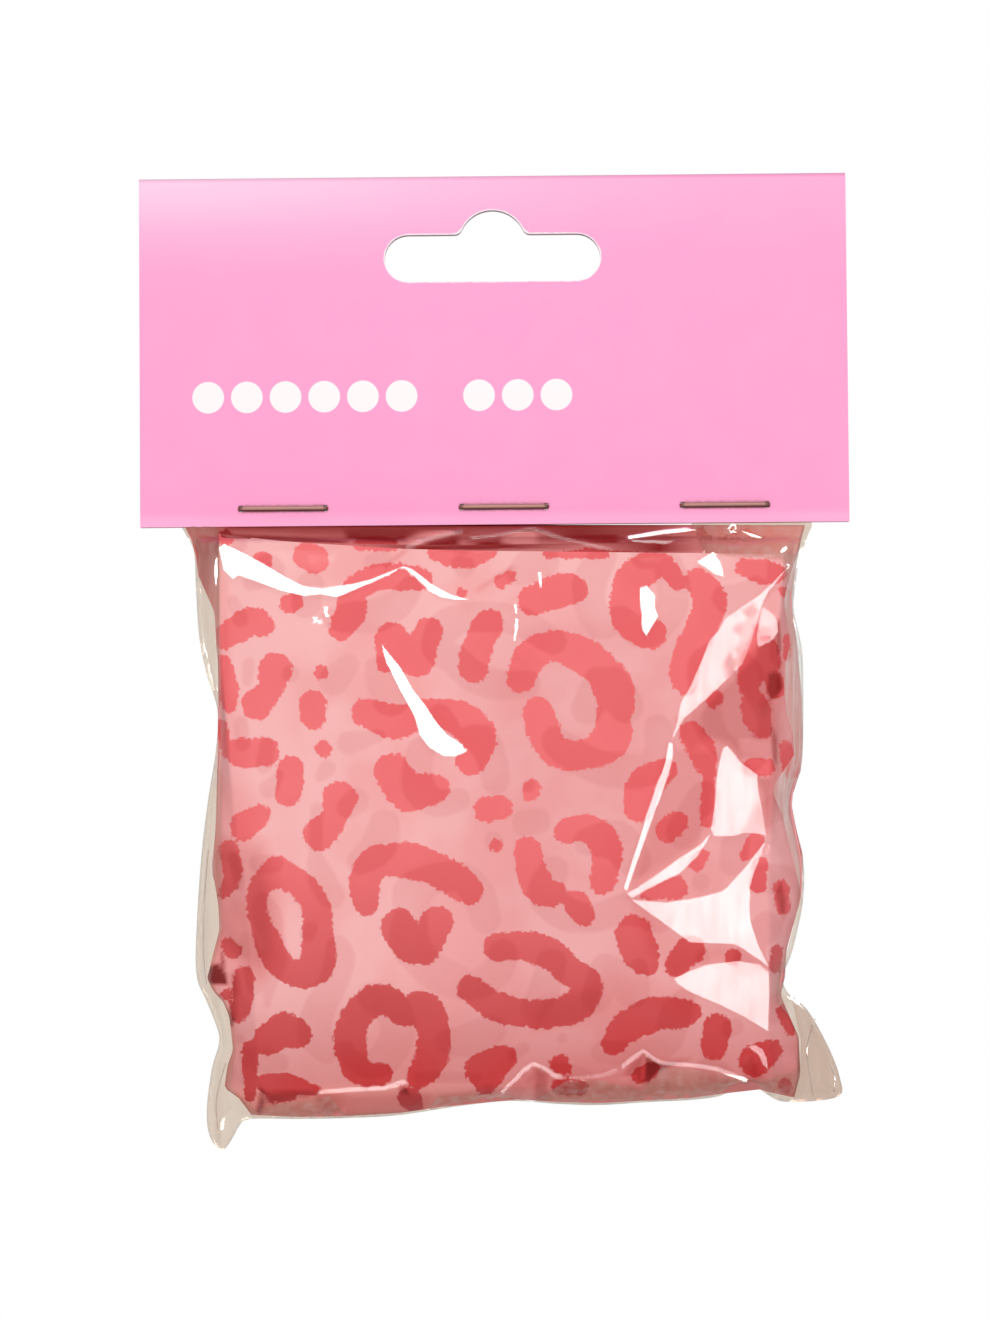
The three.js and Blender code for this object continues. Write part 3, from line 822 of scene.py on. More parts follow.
CARD_PINK = (1.0, 0.335, 0.605, 1)
# colour of the painted sheen towards the card's top left
CARD_SHEEN = (1.0, 0.640, 0.830, 1)
CARD_FOOT = (1.0, 0.42, 0.685, 1)
CARD_MOTTLE = (1.0, 0.55, 0.74, 1)
CARD_WORN = (0.96, 0.92, 0.92, 1)
# colour of the painted shadow under and round the staples
CARD_STAPLE_SHADOW = (0.30, 0.11, 0.11, 1)
DOT_WHITE = (0.98, 0.90, 0.91, 1)
DOT_PITCH = 5.74
DOT_RADIUS = 2.35
DOT_BLUR = 0.06
DOT_ROW_Z = -27.6
DOT_ROW_START = -45.2
DOT_COUNT = 10
DOT_GAP = 6
PAPER_PALE = (0.95, 0.90, 0.90, 1)
PAPER_GREY = (0.84, 0.76, 0.78, 1)
# colour of the painted shade in the staples' holes
PAPER_HOLE_SHADE = (0.10, 0.03, 0.028, 1)
WIRE_DARK = (0.20, 0.105, 0.085, 1)
WIRE_LIGHT = (0.29, 0.16, 0.13, 1)
ELASTIC_PALE = (0.92, 0.89, 0.85, 1)
ELASTIC_GREY = (0.70, 0.66, 0.62, 1)
FLOOR_PALE = (0.93, 0.93, 0.93, 1)
FLOOR_GREY = (0.90, 0.90, 0.90, 1)

# The cap's ground and spots, each plain, clouded and over a spot of the leaf below
GROUND = (0.96, 0.495, 0.49, 1)
GROUND_CLOUD = (0.93, 0.41, 0.405, 1)
GROUND_DOUBLED = (0.80, 0.30, 0.30, 1)
SPOT = (0.95, 0.172, 0.187, 1)
SPOT_CLOUD = (0.86, 0.135, 0.145, 1)
SPOT_DOUBLED = (0.78, 0.085, 0.095, 1)
# What the cap's colours are multiplied by, and between which heights or widths that sets in: darker to the
# lower right, painted shade towards the bottom, painted light at the very bottom
RIGHT_SHARE = (-14, 4)
RIGHT_BELOW = (-60, -65)
RIGHT_TINT = (0.94, 0.86, 0.87, 1)
LOW_GROUND = (-109, -133)
LOW_GROUND_SHADE = (0.72, 0.49, 0.48, 1)
LOWEST_GROUND = (-128, -131)
# painted light: the ground is brightened along the cap's very bottom
LOWEST_GROUND_LIGHT = (1.22, 1.28, 1.20, 1)
LOW_SPOTS = (-88, -130)
LOW_SPOTS_SHADE = (0.62, 0.22, 0.22, 1)
# A shaded place turns red first, and dark as it deepens
SHADED_RED = (1, 0.02, 0.02, 1)
SHADED_DARK = (0.255, 1, 1, 1)
SHADED_POWER = 1.6

# The bag's film: what comes through, the body's colour, and how much the body covers
FILM_GLOSS = 1.7
FILM_FACE_ON = 0.04
FILM_STREAK = (0.97, 0.95, 0.93, 1)
FILMS = [
    ("clear_film", (0.985, 0.98, 0.975, 1), (1, 1, 1, 1), 0),
    ("welded_film", (0.86, 0.79, 0.72, 1), (0.86, 0.79, 0.71, 1), 0.12),
    ("folded_film", (0.78, 0.67, 0.60, 1), (0.86, 0.79, 0.71, 1), 0.08),
    ("wrinkled_film", (0.97, 0.95, 0.92, 1), (1.0, 0.90, 0.82, 1), 0.34),
]
WELDED, FOLDED, WRINKLED = 1, 2, 3
BEAD_FILM = ("weld_bead", (0.90, 0.86, 0.82, 1), FILM_STREAK, 0.4)


def dot_row(nodes):
    """A row of printed white dots on the card's front, with one left out."""
    across = (nodes.place("X") / MM - DOT_ROW_START) / DOT_PITCH
    cell = nodes.math("FLOOR", across)
    aside = (across - cell - 0.5) * DOT_PITCH
    above = nodes.place("Z") / MM - DOT_ROW_Z
    away = (aside ** 2 + above ** 2) ** 0.5
    dot = nodes.ease(away, DOT_RADIUS + DOT_BLUR, DOT_RADIUS - DOT_BLUR)
    in_row = nodes.math("GREATER_THAN", cell, -0.5) * nodes.math("LESS_THAN", cell, DOT_COUNT - 0.5)
    printed = 1 - nodes.math("COMPARE", cell, DOT_GAP, 0.1)
    front = nodes.math("LESS_THAN", nodes.place("Y"), 0)
    return dot * in_row * printed * front


def card_finish():
    """Printed card: "rim" and "press" are the distances from the slot and from a staple, in millimetres; near
    a staple a painted shadow darkens it.
    """
    material, nodes = new_finish("printed_card")
    height = nodes.place("Z") / MM
    # Painted sheen: the card's colour is lighter towards its top and its left
    leftness = nodes.ease(nodes.place("X") / MM, 36, -55)
    painted_sheen = nodes.ease(height, -30, 6) ** 6 * (0.18 + 0.67 * leftness)
    pink = nodes.mix(painted_sheen, CARD_PINK, CARD_SHEEN)
    pink = nodes.mix(0.9 * nodes.ease(height, -44.4, -46.2), pink, CARD_FOOT)
    mottle = nodes.ease(nodes.grain(140, 4), 0.35, 0.7)
    pink = nodes.mix(0.05 * mottle, pink, CARD_MOTTLE)
    inked = nodes.mix(dot_row(nodes), pink, DOT_WHITE)
    worn = nodes.ease(nodes.stored("rim") + 0.25 * nodes.grain(900), 0.36, 0.2)
    coloured = nodes.mix(0.85 * worn, inked, CARD_WORN)
    # Painted shadow under and round each staple
    staple_shadow = nodes.ease(nodes.stored("from_staple") + 0.3 * nodes.grain(1500), 0.95, 0.45)
    coloured = nodes.mix(0.8 * staple_shadow, coloured, CARD_STAPLE_SHADOW)
    fibres = nodes.grain(2600, 3)
    nodes.surface(nodes.principled({
        "Base Color": coloured,
        "Roughness": 0.40 + 0.14 * fibres,
        "Specular IOR Level": 0.35,
        "Normal": nodes.bump(fibres, 0.12, 0.00005),
    }))
    return material


def core_finish():
    """The card's cut edge, with painted shade where a staple goes through."""
    material, nodes = new_finish("card_core")
    fibres = nodes.grain(3000, 4)
    paper = nodes.mix(fibres, PAPER_PALE, PAPER_GREY)
    # Painted shade in the holes that the staples go through
    hole_shade = nodes.ease(nodes.stored("from_staple"), 1.1, 0.8)
    nodes.surface(nodes.principled({
        "Base Color": nodes.mix(hole_shade, paper, PAPER_HOLE_SHADE),
        "Roughness": 0.9,
        "Normal": nodes.bump(fibres, 0.3, 0.00005),
    }))
    return material


def wire_finish():
    material, nodes = new_finish("staple_wire")
    drawn = nodes.grain(900, 4, (0.06, 1, 1))
    nodes.surface(nodes.principled({
        "Base Color": nodes.mix(drawn, WIRE_DARK, WIRE_LIGHT),
        "Metallic": 1.0,
        "Roughness": 0.45 + 0.15 * drawn,
        "Normal": nodes.bump(drawn, 0.2, 0.00004),
    }))
    return material


def cap_finish():
    """Pale film with coral spots: "print" and "under" are the distances from a spot's edge in millimetres,
    on this leaf and on the one below, and "deep" is how much painted shade a place gets."""
    material, nodes = new_finish("cap_film")
    ragged = nodes.grain(1800, 3)
    lumpy = nodes.grain(260)
    edge = nodes.stored("print") + 1.25 * (ragged - 0.5) + 0.8 * (lumpy - 0.5)
    spot = nodes.ease(edge, 0.14, -0.14)
    below = nodes.ease(nodes.stored("under") + 0.5 * (lumpy - 0.5), 0.35, -0.35)
    cloud = nodes.ease(nodes.grain(75, 3), 0.36, 0.64)
    ground = nodes.mix(cloud, GROUND, GROUND_CLOUD)
    ground = nodes.mix(0.38 * below, ground, GROUND_DOUBLED)
    wash = nodes.mix(nodes.grain(160, 3), SPOT, SPOT_CLOUD)
    wash = nodes.mix(0.55 * below, wash, SPOT_DOUBLED)
    height = nodes.place("Z") / MM
    rightness = nodes.ease(nodes.place("X") / MM, *RIGHT_SHARE) * nodes.ease(height, *RIGHT_BELOW)
    ground = nodes.tint(rightness, ground, RIGHT_TINT)
    # Painted shade: the ground and the spots darken towards the bottom
    ground = nodes.tint(nodes.ease(height, *LOW_GROUND), ground, LOW_GROUND_SHADE)
    # Painted light along the very bottom of the ground
    ground = nodes.tint(nodes.ease(height, *LOWEST_GROUND), ground, LOWEST_GROUND_LIGHT)
    wash = nodes.tint(nodes.ease(height, *LOW_SPOTS), wash, LOW_SPOTS_SHADE)
    inked = nodes.mix(0.96 * spot, ground, wash)
    # Painted shade: the stored amount turns the colours red, then dark
    shaded = nodes.math("MINIMUM", nodes.stored("painted_shade") * (1 + 0.15 * spot), 1.0)
    redder = nodes.tint(shaded, inked, SHADED_RED)
    nodes.surface(nodes.principled({
        "Base Color": nodes.tint(shaded ** SHADED_POWER, redder, SHADED_DARK),
        "Roughness": 0.5 + 0.1 * ragged,
        "Specular IOR Level": 0.15,
        "Normal": nodes.bump(nodes.grain(420, 3), 0.10, 0.0004),
    }))
    return material


def film_finish(name, through, body, cover):
    """Film that lets light through and reflects at its face. "gloss" varies over it with its tension."""
    material, nodes = new_finish(name)
    facing = nodes.add("ShaderNodeLayerWeight", sockets={"Blend": 0.5}, out="Facing")
    shine = FILM_FACE_ON + (1 - FILM_FACE_ON) * facing ** 5
    streaks = nodes.ease(nodes.grain(700, 3, (1, 1, 0.12)), 0.35, 0.75)
    milky = cover * (0.55 + 0.9 * streaks)
    cloud = 0.7 + 0.6 * nodes.grain(110, 3)
    factor = FILM_GLOSS * shine * cloud * nodes.stored("gloss") + milky
    clear = nodes.add("ShaderNodeBsdfTransparent", sockets={"Color": through})
    face = nodes.principled({
        "Base Color": nodes.mix(streaks, body, FILM_STREAK),
        "Metallic": 1.0,
        "Roughness": 0.07 + 0.05 * streaks,
    })
    share = nodes.math("MINIMUM", factor, 1.0)
    nodes.surface(nodes.add("ShaderNodeMixShader", sockets={0: share, 1: clear, 2: face}))
    return material


def elastic_finish():
    material, nodes = new_finish("elastic")
    knit = nodes.grain(1500, 2, (1, 1, 3))
    nodes.surface(nodes.principled({
        "Base Color": nodes.mix(knit, ELASTIC_PALE, ELASTIC_GREY),
        "Roughness": 0.85,
        "Normal": nodes.bump(knit, 0.5, 0.0002),
    }))
    return material


def floor_finish():
    """A pale floor that fades out towards its edge."""
    material, nodes = new_finish("pale_floor")
    away = (nodes.place("X") ** 2 + nodes.place("Y") ** 2) ** 0.5
    shown = nodes.ease(away, FLOOR_RADIUS * MM, FLOOR_CLEAR * FLOOR_RADIUS * MM)
    clear = nodes.add("ShaderNodeBsdfTransparent")
    pale = nodes.principled({
        "Base Color": nodes.mix(nodes.grain(30), FLOOR_PALE, FLOOR_GREY),
        "Roughness": 0.8,
        "Specular IOR Level": 0.1,
    })
    nodes.surface(nodes.add("ShaderNodeMixShader", sockets={0: shown, 1: clear, 2: pale}))
    return material


# Stage

def set_camera():
    data = bpy.data.cameras.new("camera")
    data.sensor_fit = "VERTICAL"
    data.sensor_height = SENSOR_HEIGHT
    data.lens = FOCAL_SQUARES * SENSOR_HEIGHT / FRAME_HEIGHT
    data.clip_start = 0.01
    camera = add_object("camera", data)
    at = CAMERA_AT * MM
    camera.matrix_world = Matrix([(RIGHT[k], UP[k], -AHEAD[k], at[k]) for k in range(3)] + [(0, 0, 0, 1)])
    bpy.context.scene.camera = camera


def add_strip(name, at, power):
    data = bpy.data.lights.new(name, "AREA")
    data.shape = "RECTANGLE"
    data.size = STRIP_WIDTH * MM
    data.size_y = STRIP_HEIGHT * MM
    data.energy = power
    lamp = add_object(name, data)
    lamp.location = at * MM
    lamp.rotation_euler = Vector(AIMED_AT - at).to_track_quat("-Z", "Y").to_euler()
    lamp.visible_camera = False


def set_world():
    """White to the eye, softer in reflections, and a plain even fill on the object."""
    world = bpy.data.worlds.new("studio")
    bpy.context.scene.world = world
    world.use_nodes = True
    nodes = Nodes(world.node_tree)
    path = "ShaderNodeLightPath"
    seen = nodes.add(path, out="Is Camera Ray")
    mirrored = nodes.add(path, out="Is Glossy Ray")
    level = FILL + (1 - FILL) * seen + (GLOSS_FILL - FILL) * mirrored
    sky = nodes.add("ShaderNodeBackground", sockets={"Color": (1, 1, 1, 1), "Strength": level})
    nodes.add("ShaderNodeOutputWorld", sockets={"Surface": sky})


def add_floor():
    turn = np.linspace(0, 2 * math.pi, FLOOR_SIDES + 1)[:-1]
    ring = np.stack([np.cos(turn), np.sin(turn), 0 * turn], axis=1) * FLOOR_RADIUS
    low = np.array(cad_box[0])[2] / MM - FLOOR_BELOW
    points = np.vstack([ring, [[0, 0, 0]]]) + [0, 0, low]
    faces = [(n, (n + 1) % FLOOR_SIDES, FLOOR_SIDES) for n in range(FLOOR_SIDES)]
    make_object("floor", points, faces, floor_finish())


# Header card

FOLD_Z = CARD_HIGH[2] - CARD_HIGH[1]
QUARTER_TURN = CARD_CORE * math.pi / 2
FLAP_LENGTH = FOLD_Z - CARD_LOW[2]


def slot_outline():
    """The hang slot on X and Z, with the arch over its middle."""
    top = -ARCH_RISE
    bottom = top - SLOT_HEIGHT
    end = SLOT_HEIGHT / 2
    reach = SLOT_WIDTH / 2 - end
    foot = math.sqrt(ARCH_RADIUS ** 2 - (top + ARCH_RADIUS) ** 2)
    turn = math.asin((top + ARCH_RADIUS) / ARCH_RADIUS) + ARCH_FILLET / ARCH_RADIUS
    swing = np.linspace(-math.pi / 2, math.pi / 2, END_STEPS)
    right = np.stack([reach + end * np.cos(swing), (top + bottom) / 2 + end * np.sin(swing)], axis=1)
    over = np.linspace(turn, math.pi / 2, ARCH_STEPS)
    arch = np.stack([ARCH_RADIUS * np.cos(over), ARCH_RADIUS * (np.sin(over) - 1)], axis=1)
    start, stop = np.array([foot + ARCH_FILLET, top]), arch[0]
    knee = np.array([foot, top])
    fillet = []
    for t in np.linspace(0, 1, FILLET_STEPS)[:-1]:
        fillet.append((1 - t) ** 2 * start + 2 * t * (1 - t) * knee + t ** 2 * stop)
    half = np.vstack([right, fillet, arch])
    other = half[::-1][1:] * [-1, 1]
    return np.vstack([half, other])


def staple_middles():
    """The middle of each staple on X and Z, and how far its legs stand from it."""
    for name in STAPLES:
        low, high = box_of(name)
        yield (low[0] + high[0]) / 2, (low[2] + high[2]) / 2, (high[0] - low[0]) / 2 - WIRE_THICKNESS / 2


def leg_holes():
    across, up = LEG_HOLE
    for x, z, leg in staple_middles():
        for middle in (x - leg, x + leg):
            yield np.array([(middle + a * across, z + b * up) for a, b in TURNS])


def staple_distance(points):
    """How far points on X and Z lie from the nearest staple's wire."""
    least = np.full(len(points), 1e3)
    for x, z, leg in staple_middles():
        least = np.minimum(least, distance(points, np.array([(x - leg, z), (x + leg, z)]), closed=False))
    return least


def flat_card():
    """The strip of card before it is folded, as points, triangles and cut-outs.
    Its points are (x, s), where s runs from the front edge to the back edge and is 0 at the fold."""
    holes = []
    for facing in (-1, 1):
        for ring in [slot_outline(), *leg_holes()]:
            holes.append(np.stack([ring[:, 0], facing * (QUARTER_TURN + FOLD_Z - ring[:, 1])], axis=1))
    side = CARD_HIGH[0]
    reach = QUARTER_TURN + FLAP_LENGTH
    across = np.linspace(-side, side, round(2 * side / CARD_GRID) + 1)
    flap = np.linspace(-reach, -QUARTER_TURN, FLAP_ROWS)
    along = np.concatenate([flap, np.linspace(-QUARTER_TURN, QUARTER_TURN, FOLD_ROWS)[1:-1], -flap[::-1]])
    rim = np.vstack([
        [(x, -reach) for x in across[:-1]],
        [(side, s) for s in along[:-1]],
        [(x, reach) for x in across[:0:-1]],
        [(-side, s) for s in along[:0:-1]],
    ])
    grid = np.array([(x, s) for x in across[1:-1] for s in along[1:-1]])
    for middle, z, leg in staple_middles():
        for facing in (-1, 1):
            spread = np.arange(middle - leg - PRESS_SPARE, middle + leg + PRESS_SPARE, PRESS_STEP)
            fine = [(x, facing * (QUARTER_TURN + FOLD_Z - z + s)) for x in spread for s in PRESS_ROWS]
            grid = np.vstack([grid, fine])
    for ring in holes:
        grid = grid[~inside(grid, ring) & (distance(grid, ring) > HOLE_CLEARANCE)]
    rings = [rim, *holes]
    flat, _, faces = triangles(np.vstack([*rings, grid]), ring_edges(rings))
    middles = flat[faces].mean(axis=1)
    keep = np.ones(len(faces), bool)
    for ring in holes:
        keep &= ~inside(middles, ring)
    return flat, faces[keep], holes


def header_card():
    """One strip of card, folded over, with its cut-outs."""
    flat, faces, holes = flat_card()
    x, s = flat.T
    turn = np.clip(s / CARD_CORE, -math.pi / 2, math.pi / 2)
    down = np.maximum(np.abs(s) - QUARTER_TURN, 0)
    bow = CARD_BOW * np.sign(s) * np.sin(math.pi * down / FLAP_LENGTH) * np.cos(x / CARD_BOW_LENGTH)
    y = CARD_CORE * np.sin(turn) + bow
    z = FOLD_Z + CARD_CORE * np.cos(turn) - down
    points = np.stack([x, y, z], axis=1)
    card = make_object("printed_header_card", points, faces, card_finish(), core_finish())
    slots = [holes[0], holes[1 + 2 * len(STAPLES)]]
    give(card, "rim", np.minimum(distance(flat, slots[0]), distance(flat, slots[1])))
    # distance from the staples, for their painted shadow
    give(card, "from_staple", staple_distance(np.stack([x, z], axis=1)))
    sharpen_rim(card)
    thick = card.modifiers.new("thickness", "SOLIDIFY")
    thick.thickness = CARD_THICKNESS * MM
    thick.offset = 0
    thick.material_offset_rim = 1
    return card


# Swept wires and ribs

ROUNDING_STEPS = 3


def sweep_tree(name, finish):
    """Geometry Nodes that sweep a rounded flat section along every curve."""
    tree = bpy.data.node_groups.new(name, "GeometryNodeTree")
    face = tree.interface
    face.new_socket("Lines", in_out="INPUT", socket_type="NodeSocketGeometry")
    for label in ("Width", "Thickness", "Rounding"):
        face.new_socket(label, in_out="INPUT", socket_type="NodeSocketFloat")
    face.new_socket("Swept", in_out="OUTPUT", socket_type="NodeSocketGeometry")
    nodes = Nodes(tree)
    group = tree.nodes.new("NodeGroupInput")
    lines, width, thickness, rounding = (Value(nodes, group.outputs[k]) for k in range(4))
    box = nodes.add("GeometryNodeCurvePrimitiveQuadrilateral", sockets={"Width": width, "Height": thickness})
    section = nodes.add(
        "GeometryNodeFilletCurve",
        {"mode": "POLY"},
        {"Curve": box, "Count": ROUNDING_STEPS, "Radius": rounding},
    )
    swept = nodes.add(
        "GeometryNodeCurveToMesh",
        sockets={"Curve": lines, "Profile Curve": section, "Fill Caps": True},
    )
    soft = nodes.add("GeometryNodeSetShadeSmooth", sockets={"Geometry": swept})
    whole = nodes.add("GeometryNodeRealizeInstances", sockets={"Geometry": soft})
    done = nodes.add("GeometryNodeSetMaterial", sockets={"Geometry": whole, "Material": finish})
    nodes.add("NodeGroupOutput", sockets={0: done})
    return tree


def sweep(name, routes, width, thickness, rounding, finish):
    """A mesh of flat wires along routes given in millimetres."""
    lines = bpy.data.curves.new(name + "_lines", "CURVE")
    lines.dimensions = "3D"
    lines.twist_mode = "Z_UP"
    for route in routes:
        spline = lines.splines.new("POLY")
        spline.points.add(len(route) - 1)
        spline.points.foreach_set("co", np.hstack([np.asarray(route) * MM, np.ones((len(route), 1))]).ravel())
    holder = add_object(name + "_lines", lines)
    tree = sweep_tree(name + "_sweep", finish)
    modifier = holder.modifiers.new("sweep", "NODES")
    modifier.node_group = tree
    sizes = {"Width": width, "Thickness": thickness, "Rounding": rounding}
    for item in tree.interface.items_tree:
        if item.in_out == "INPUT" and item.name in sizes:
            modifier[item.identifier] = sizes[item.name] * MM
    graph = bpy.context.evaluated_depsgraph_get()
    mesh = bpy.data.meshes.new_from_object(holder.evaluated_get(graph), depsgraph=graph)
    made = add_object(name, mesh)
    bpy.data.objects.remove(holder)
    return made


def staple_route(name):
    """Along one staple: from a clinched tip, through the card, along the crown and back to the other tip."""
    low, high = box_of(name)
    x = (low[0] + high[0]) / 2
    z = (low[2] + high[2]) / 2
    leg = (high[0] - low[0] - WIRE_THICKNESS) / 2
    front = low[1] + WIRE_THICKNESS / 2
    back = high[1] - WIRE_THICKNESS / 2
    tip = leg - CLINCH_LENGTH
    bend = WIRE_BEND
    turn = np.linspace(0, math.pi / 2, BEND_STEPS)
    half = [(tip, back - CLINCH_DIP), (tip + CLINCH_SLOPE * (leg - tip - bend), back)]
    half += [(leg - bend + bend * math.sin(t), back - bend + bend * math.cos(t)) for t in turn]
    half += [(leg - bend + bend * math.cos(t), front + bend - bend * math.sin(t)) for t in turn]
    half += [(a, front + CROWN_BOW * math.cos(a)) for a in np.linspace(leg - bend, 0, CROWN_STEPS)[1:]]
    route = [(x - a, y, z) for a, y in half] + [(x + a, y, z) for a, y in half[::-1][1:]]
    return np.array(route)


# Folded cap

LEAF_RING = np.vstack([LEAF_TOP, LEAF_RIGHT[1:], LEAF_BOTTOM[::-1][1:], LEAF_LEFT[::-1][1:-1]]).astype(float)
NECK_LEFT = BAG_LEFT[0][0]
NECK_RIGHT = BAG_RIGHT[-1][0]
NECK_EDGE = np.linspace(NECK_RIGHT, NECK_LEFT, round((NECK_RIGHT - NECK_LEFT) / EDGE_STEP) + 1)
BAG_RING = np.vstack([
    smooth_line(BAG_LEFT + BAG_BOTTOM + BAG_RIGHT, EDGE_STEP),
    [(x, NECK_TOP) for x in NECK_EDGE],
])
SWELL_RING = BAG_RING[BAG_RING[:, 1] >= NECK_LINE]


def edges_at(line, values, key):
    """The line's other coordinate at these values of one coordinate."""
    line = np.asarray(line, float)
    order = np.argsort(line[:, key])
    return np.interp(values, line[order, key], line[order, 1 - key])


def patch(u, v, left, right, top, bottom):
    """Squares on a four-edged leaf, u from its left edge to its right, v from its top edge to its bottom."""
    x = edges_at(left, 0 * u + left[0][1], 1) * (1 - u) + edges_at(right, 0 * u + right[0][1], 1) * u
    for _ in range(3):
        y = edges_at(top, x, 0) * (1 - v) + edges_at(bottom, x, 0) * v
        x = edges_at(left, y, 1) * (1 - u) + edges_at(right, y, 1) * u
    return np.stack([x, y], axis=-1)


def fullness(squares):
    """How far the packet has swelled: 0 at the bag's edge, 1 over the front leaf, thin at the neck's bend."""
    out = distance(squares, SWELL_RING) * inside(squares, SWELL_RING)
    into = distance(squares, LEAF_RING) * ~inside(squares, LEAF_RING)
    room = NECK_ROOM + NECK_OPENING * np.maximum(squares[:, 1] - NECK_BEND, 0)
    return np.minimum((out / np.maximum(out + into, 1e-6)) ** SWELL, room)


def stroke_distance(squares, strokes):
    """Distance from the nearest brush stroke's edge, in squares, below zero inside it."""
    least = np.full(len(squares), 1e3)
    for stroke in strokes:
        dabs = smooth_line(stroke, DAB_STEP)
        stops = dabs[1:] if len(dabs) > 1 else dabs
        for start, stop in zip(dabs, stops):
            run = stop[:2] - start[:2]
            share = np.clip((squares - start[:2]) @ run / max(run @ run, 1e-9), 0, 1)
            near = np.linalg.norm(squares - start[:2] - share[:, None] * run, axis=1)
            least = np.minimum(least, near - start[2] - share * (stop[2] - start[2]))
    return least


def fold_columns():
    """Columns of the folded film: its ply, its share across the ply, its depth, how far it stands out
    at a fold, and how much it follows the leaf's edges rather than the pack's."""
    front = np.linspace(CAP_FRONT, CAP_HEM_FRONT, FRONT_PLIES)
    back = np.linspace(CAP_HEM_BACK, CAP_BACK, BACK_PLIES)
    depths = np.concatenate([front, back])
    last = len(depths) - 1
    counts = {0: FACE_COLUMNS, 2: NECK_COLUMNS, last: BACK_COLUMNS}
    share = np.zeros(len(depths))
    share[[0, 1, -2, -1]] = 1
    columns = []
    for ply, depth in enumerate(depths):
        rightward = ply % 2 == 1
        start = (share[ply] + share[max(ply - 1, 0)]) / 2
        stop = (share[ply] + share[min(ply + 1, last)]) / 2
        steps = np.linspace(0, 1, counts.get(ply, INNER_COLUMNS) + 1)
        for t in steps - EDGE_DRAW * np.sin(2 * math.pi * steps):
            columns.append((ply, t if rightward else 1 - t, depth, 0, start + (stop - start) * t))
        if ply == last:
            break
        end, outward = (1.0, 1) if rightward else (0.0, -1)
        radius = (depths[ply + 1] - depth) / 2
        for turn in np.linspace(0, math.pi, FOLD_STEPS + 2)[1:-1]:
            stand = min(radius, FOLD_STAND) * math.sin(turn) * outward
            columns.append((ply, end, depth + radius * (1 - math.cos(turn)), stand, stop))
    return np.array(columns)


def shade(squares, plain, places):
    """How dark each point is: it starts plain, and each place draws it to its own amount."""
    total = np.full(len(squares), float(plain))
    for amount, blur, corners in places:
        ring = np.array(corners, float)
        depth = distance(squares, ring) * np.where(inside(squares, ring), 1, -1)
        total += (amount - total) * np.clip(0.5 + depth / blur, 0, 1)
    return total


def folded_cap():
    """The cap's film folded to and fro, with its print and its shaded places."""
    columns = fold_columns()
    below_neck = np.linspace(NECK_SHARE, 1, CAP_ROWS + 1)[1:]
    rows = np.concatenate([np.linspace(0, NECK_SHARE, NECK_ROWS), below_neck])
    ply, u, depth, stand, share = (np.tile(column, len(rows)) for column in columns.T)
    v = np.repeat(rows, len(columns))
    leaf = patch(u, v, LEAF_FOLD, PACK_RIGHT, LEAF_TOP, PACK_BOTTOM)
    pack = patch(u, v, PACK_LEFT, PACK_RIGHT, PACK_TOP, PACK_BOTTOM)
    squares = leaf * share[:, None] + pack * (1 - share[:, None])
    loose = (1 - share) * (2 * u - 1)
    uneven = np.abs(ripples(np.stack([v, share], axis=1) * LOOSE_SPREAD, length=90, seed=3))
    squares[:, 0] -= LOOSE_EDGE * uneven * loose
    depth = depth * fullness(squares) + LEAF_WAVE * ripples(squares, length=110, seed=5)
    beside = distance(squares, LEAF_RING) * ~inside(squares, LEAF_RING)
    crumple = CRUMPLE * ripples(squares, length=36, seed=9) * np.clip(beside / CRUMPLE_EASE, 0, 1)
    depth -= crumple * np.clip(depth / CAP_FRONT, 0, 1)
    points = place(squares, depth)
    points[:, 0] += stand
    wide = len(columns)
    corner = (np.arange(len(rows) - 1)[:, None] * wide + np.arange(wide - 1)).ravel()
    faces = np.stack([corner, corner + 1, corner + wide + 1, corner + wide], axis=1)
    cap = make_object("folded_cap", points, faces, cap_finish())
    size = np.linalg.norm(place([(500, 800)], 0) - place([(501, 800)], 0))
    turned = PRINT_TURN - squares
    spots = np.where(ply < FRONT_PLIES, stroke_distance(squares, PRINT), stroke_distance(turned, PRINT))
    under = np.where(ply == 0, stroke_distance(turned + UNDER_SHIFT, PRINT), NO_PRINT)
    inner = np.where(ply == ply.max(), PLY_SHADE, shade(squares, PLY_SHADE, PLY_SHADES))
    give(cap, "print", spots * size)
    give(cap, "under", under * size)
    # how much painted shade each point gets
    give(cap, "painted_shade", np.where(ply == 0, shade(squares, 0, LEAF_SHADES), inner))
    return cap


# Clear bag

def beside_ring(ring):
    """Points a little to either side of a ring, so that what ends at the ring ends crisply."""
    run = np.roll(ring, -1, axis=0) - np.roll(ring, 1, axis=0)
    run /= np.maximum(np.linalg.norm(run, axis=1), 1e-9)[:, None]
    normal = np.stack([-run[:, 1], run[:, 0]], axis=1)
    return np.vstack([ring + GUARD * normal, ring - GUARD * normal])


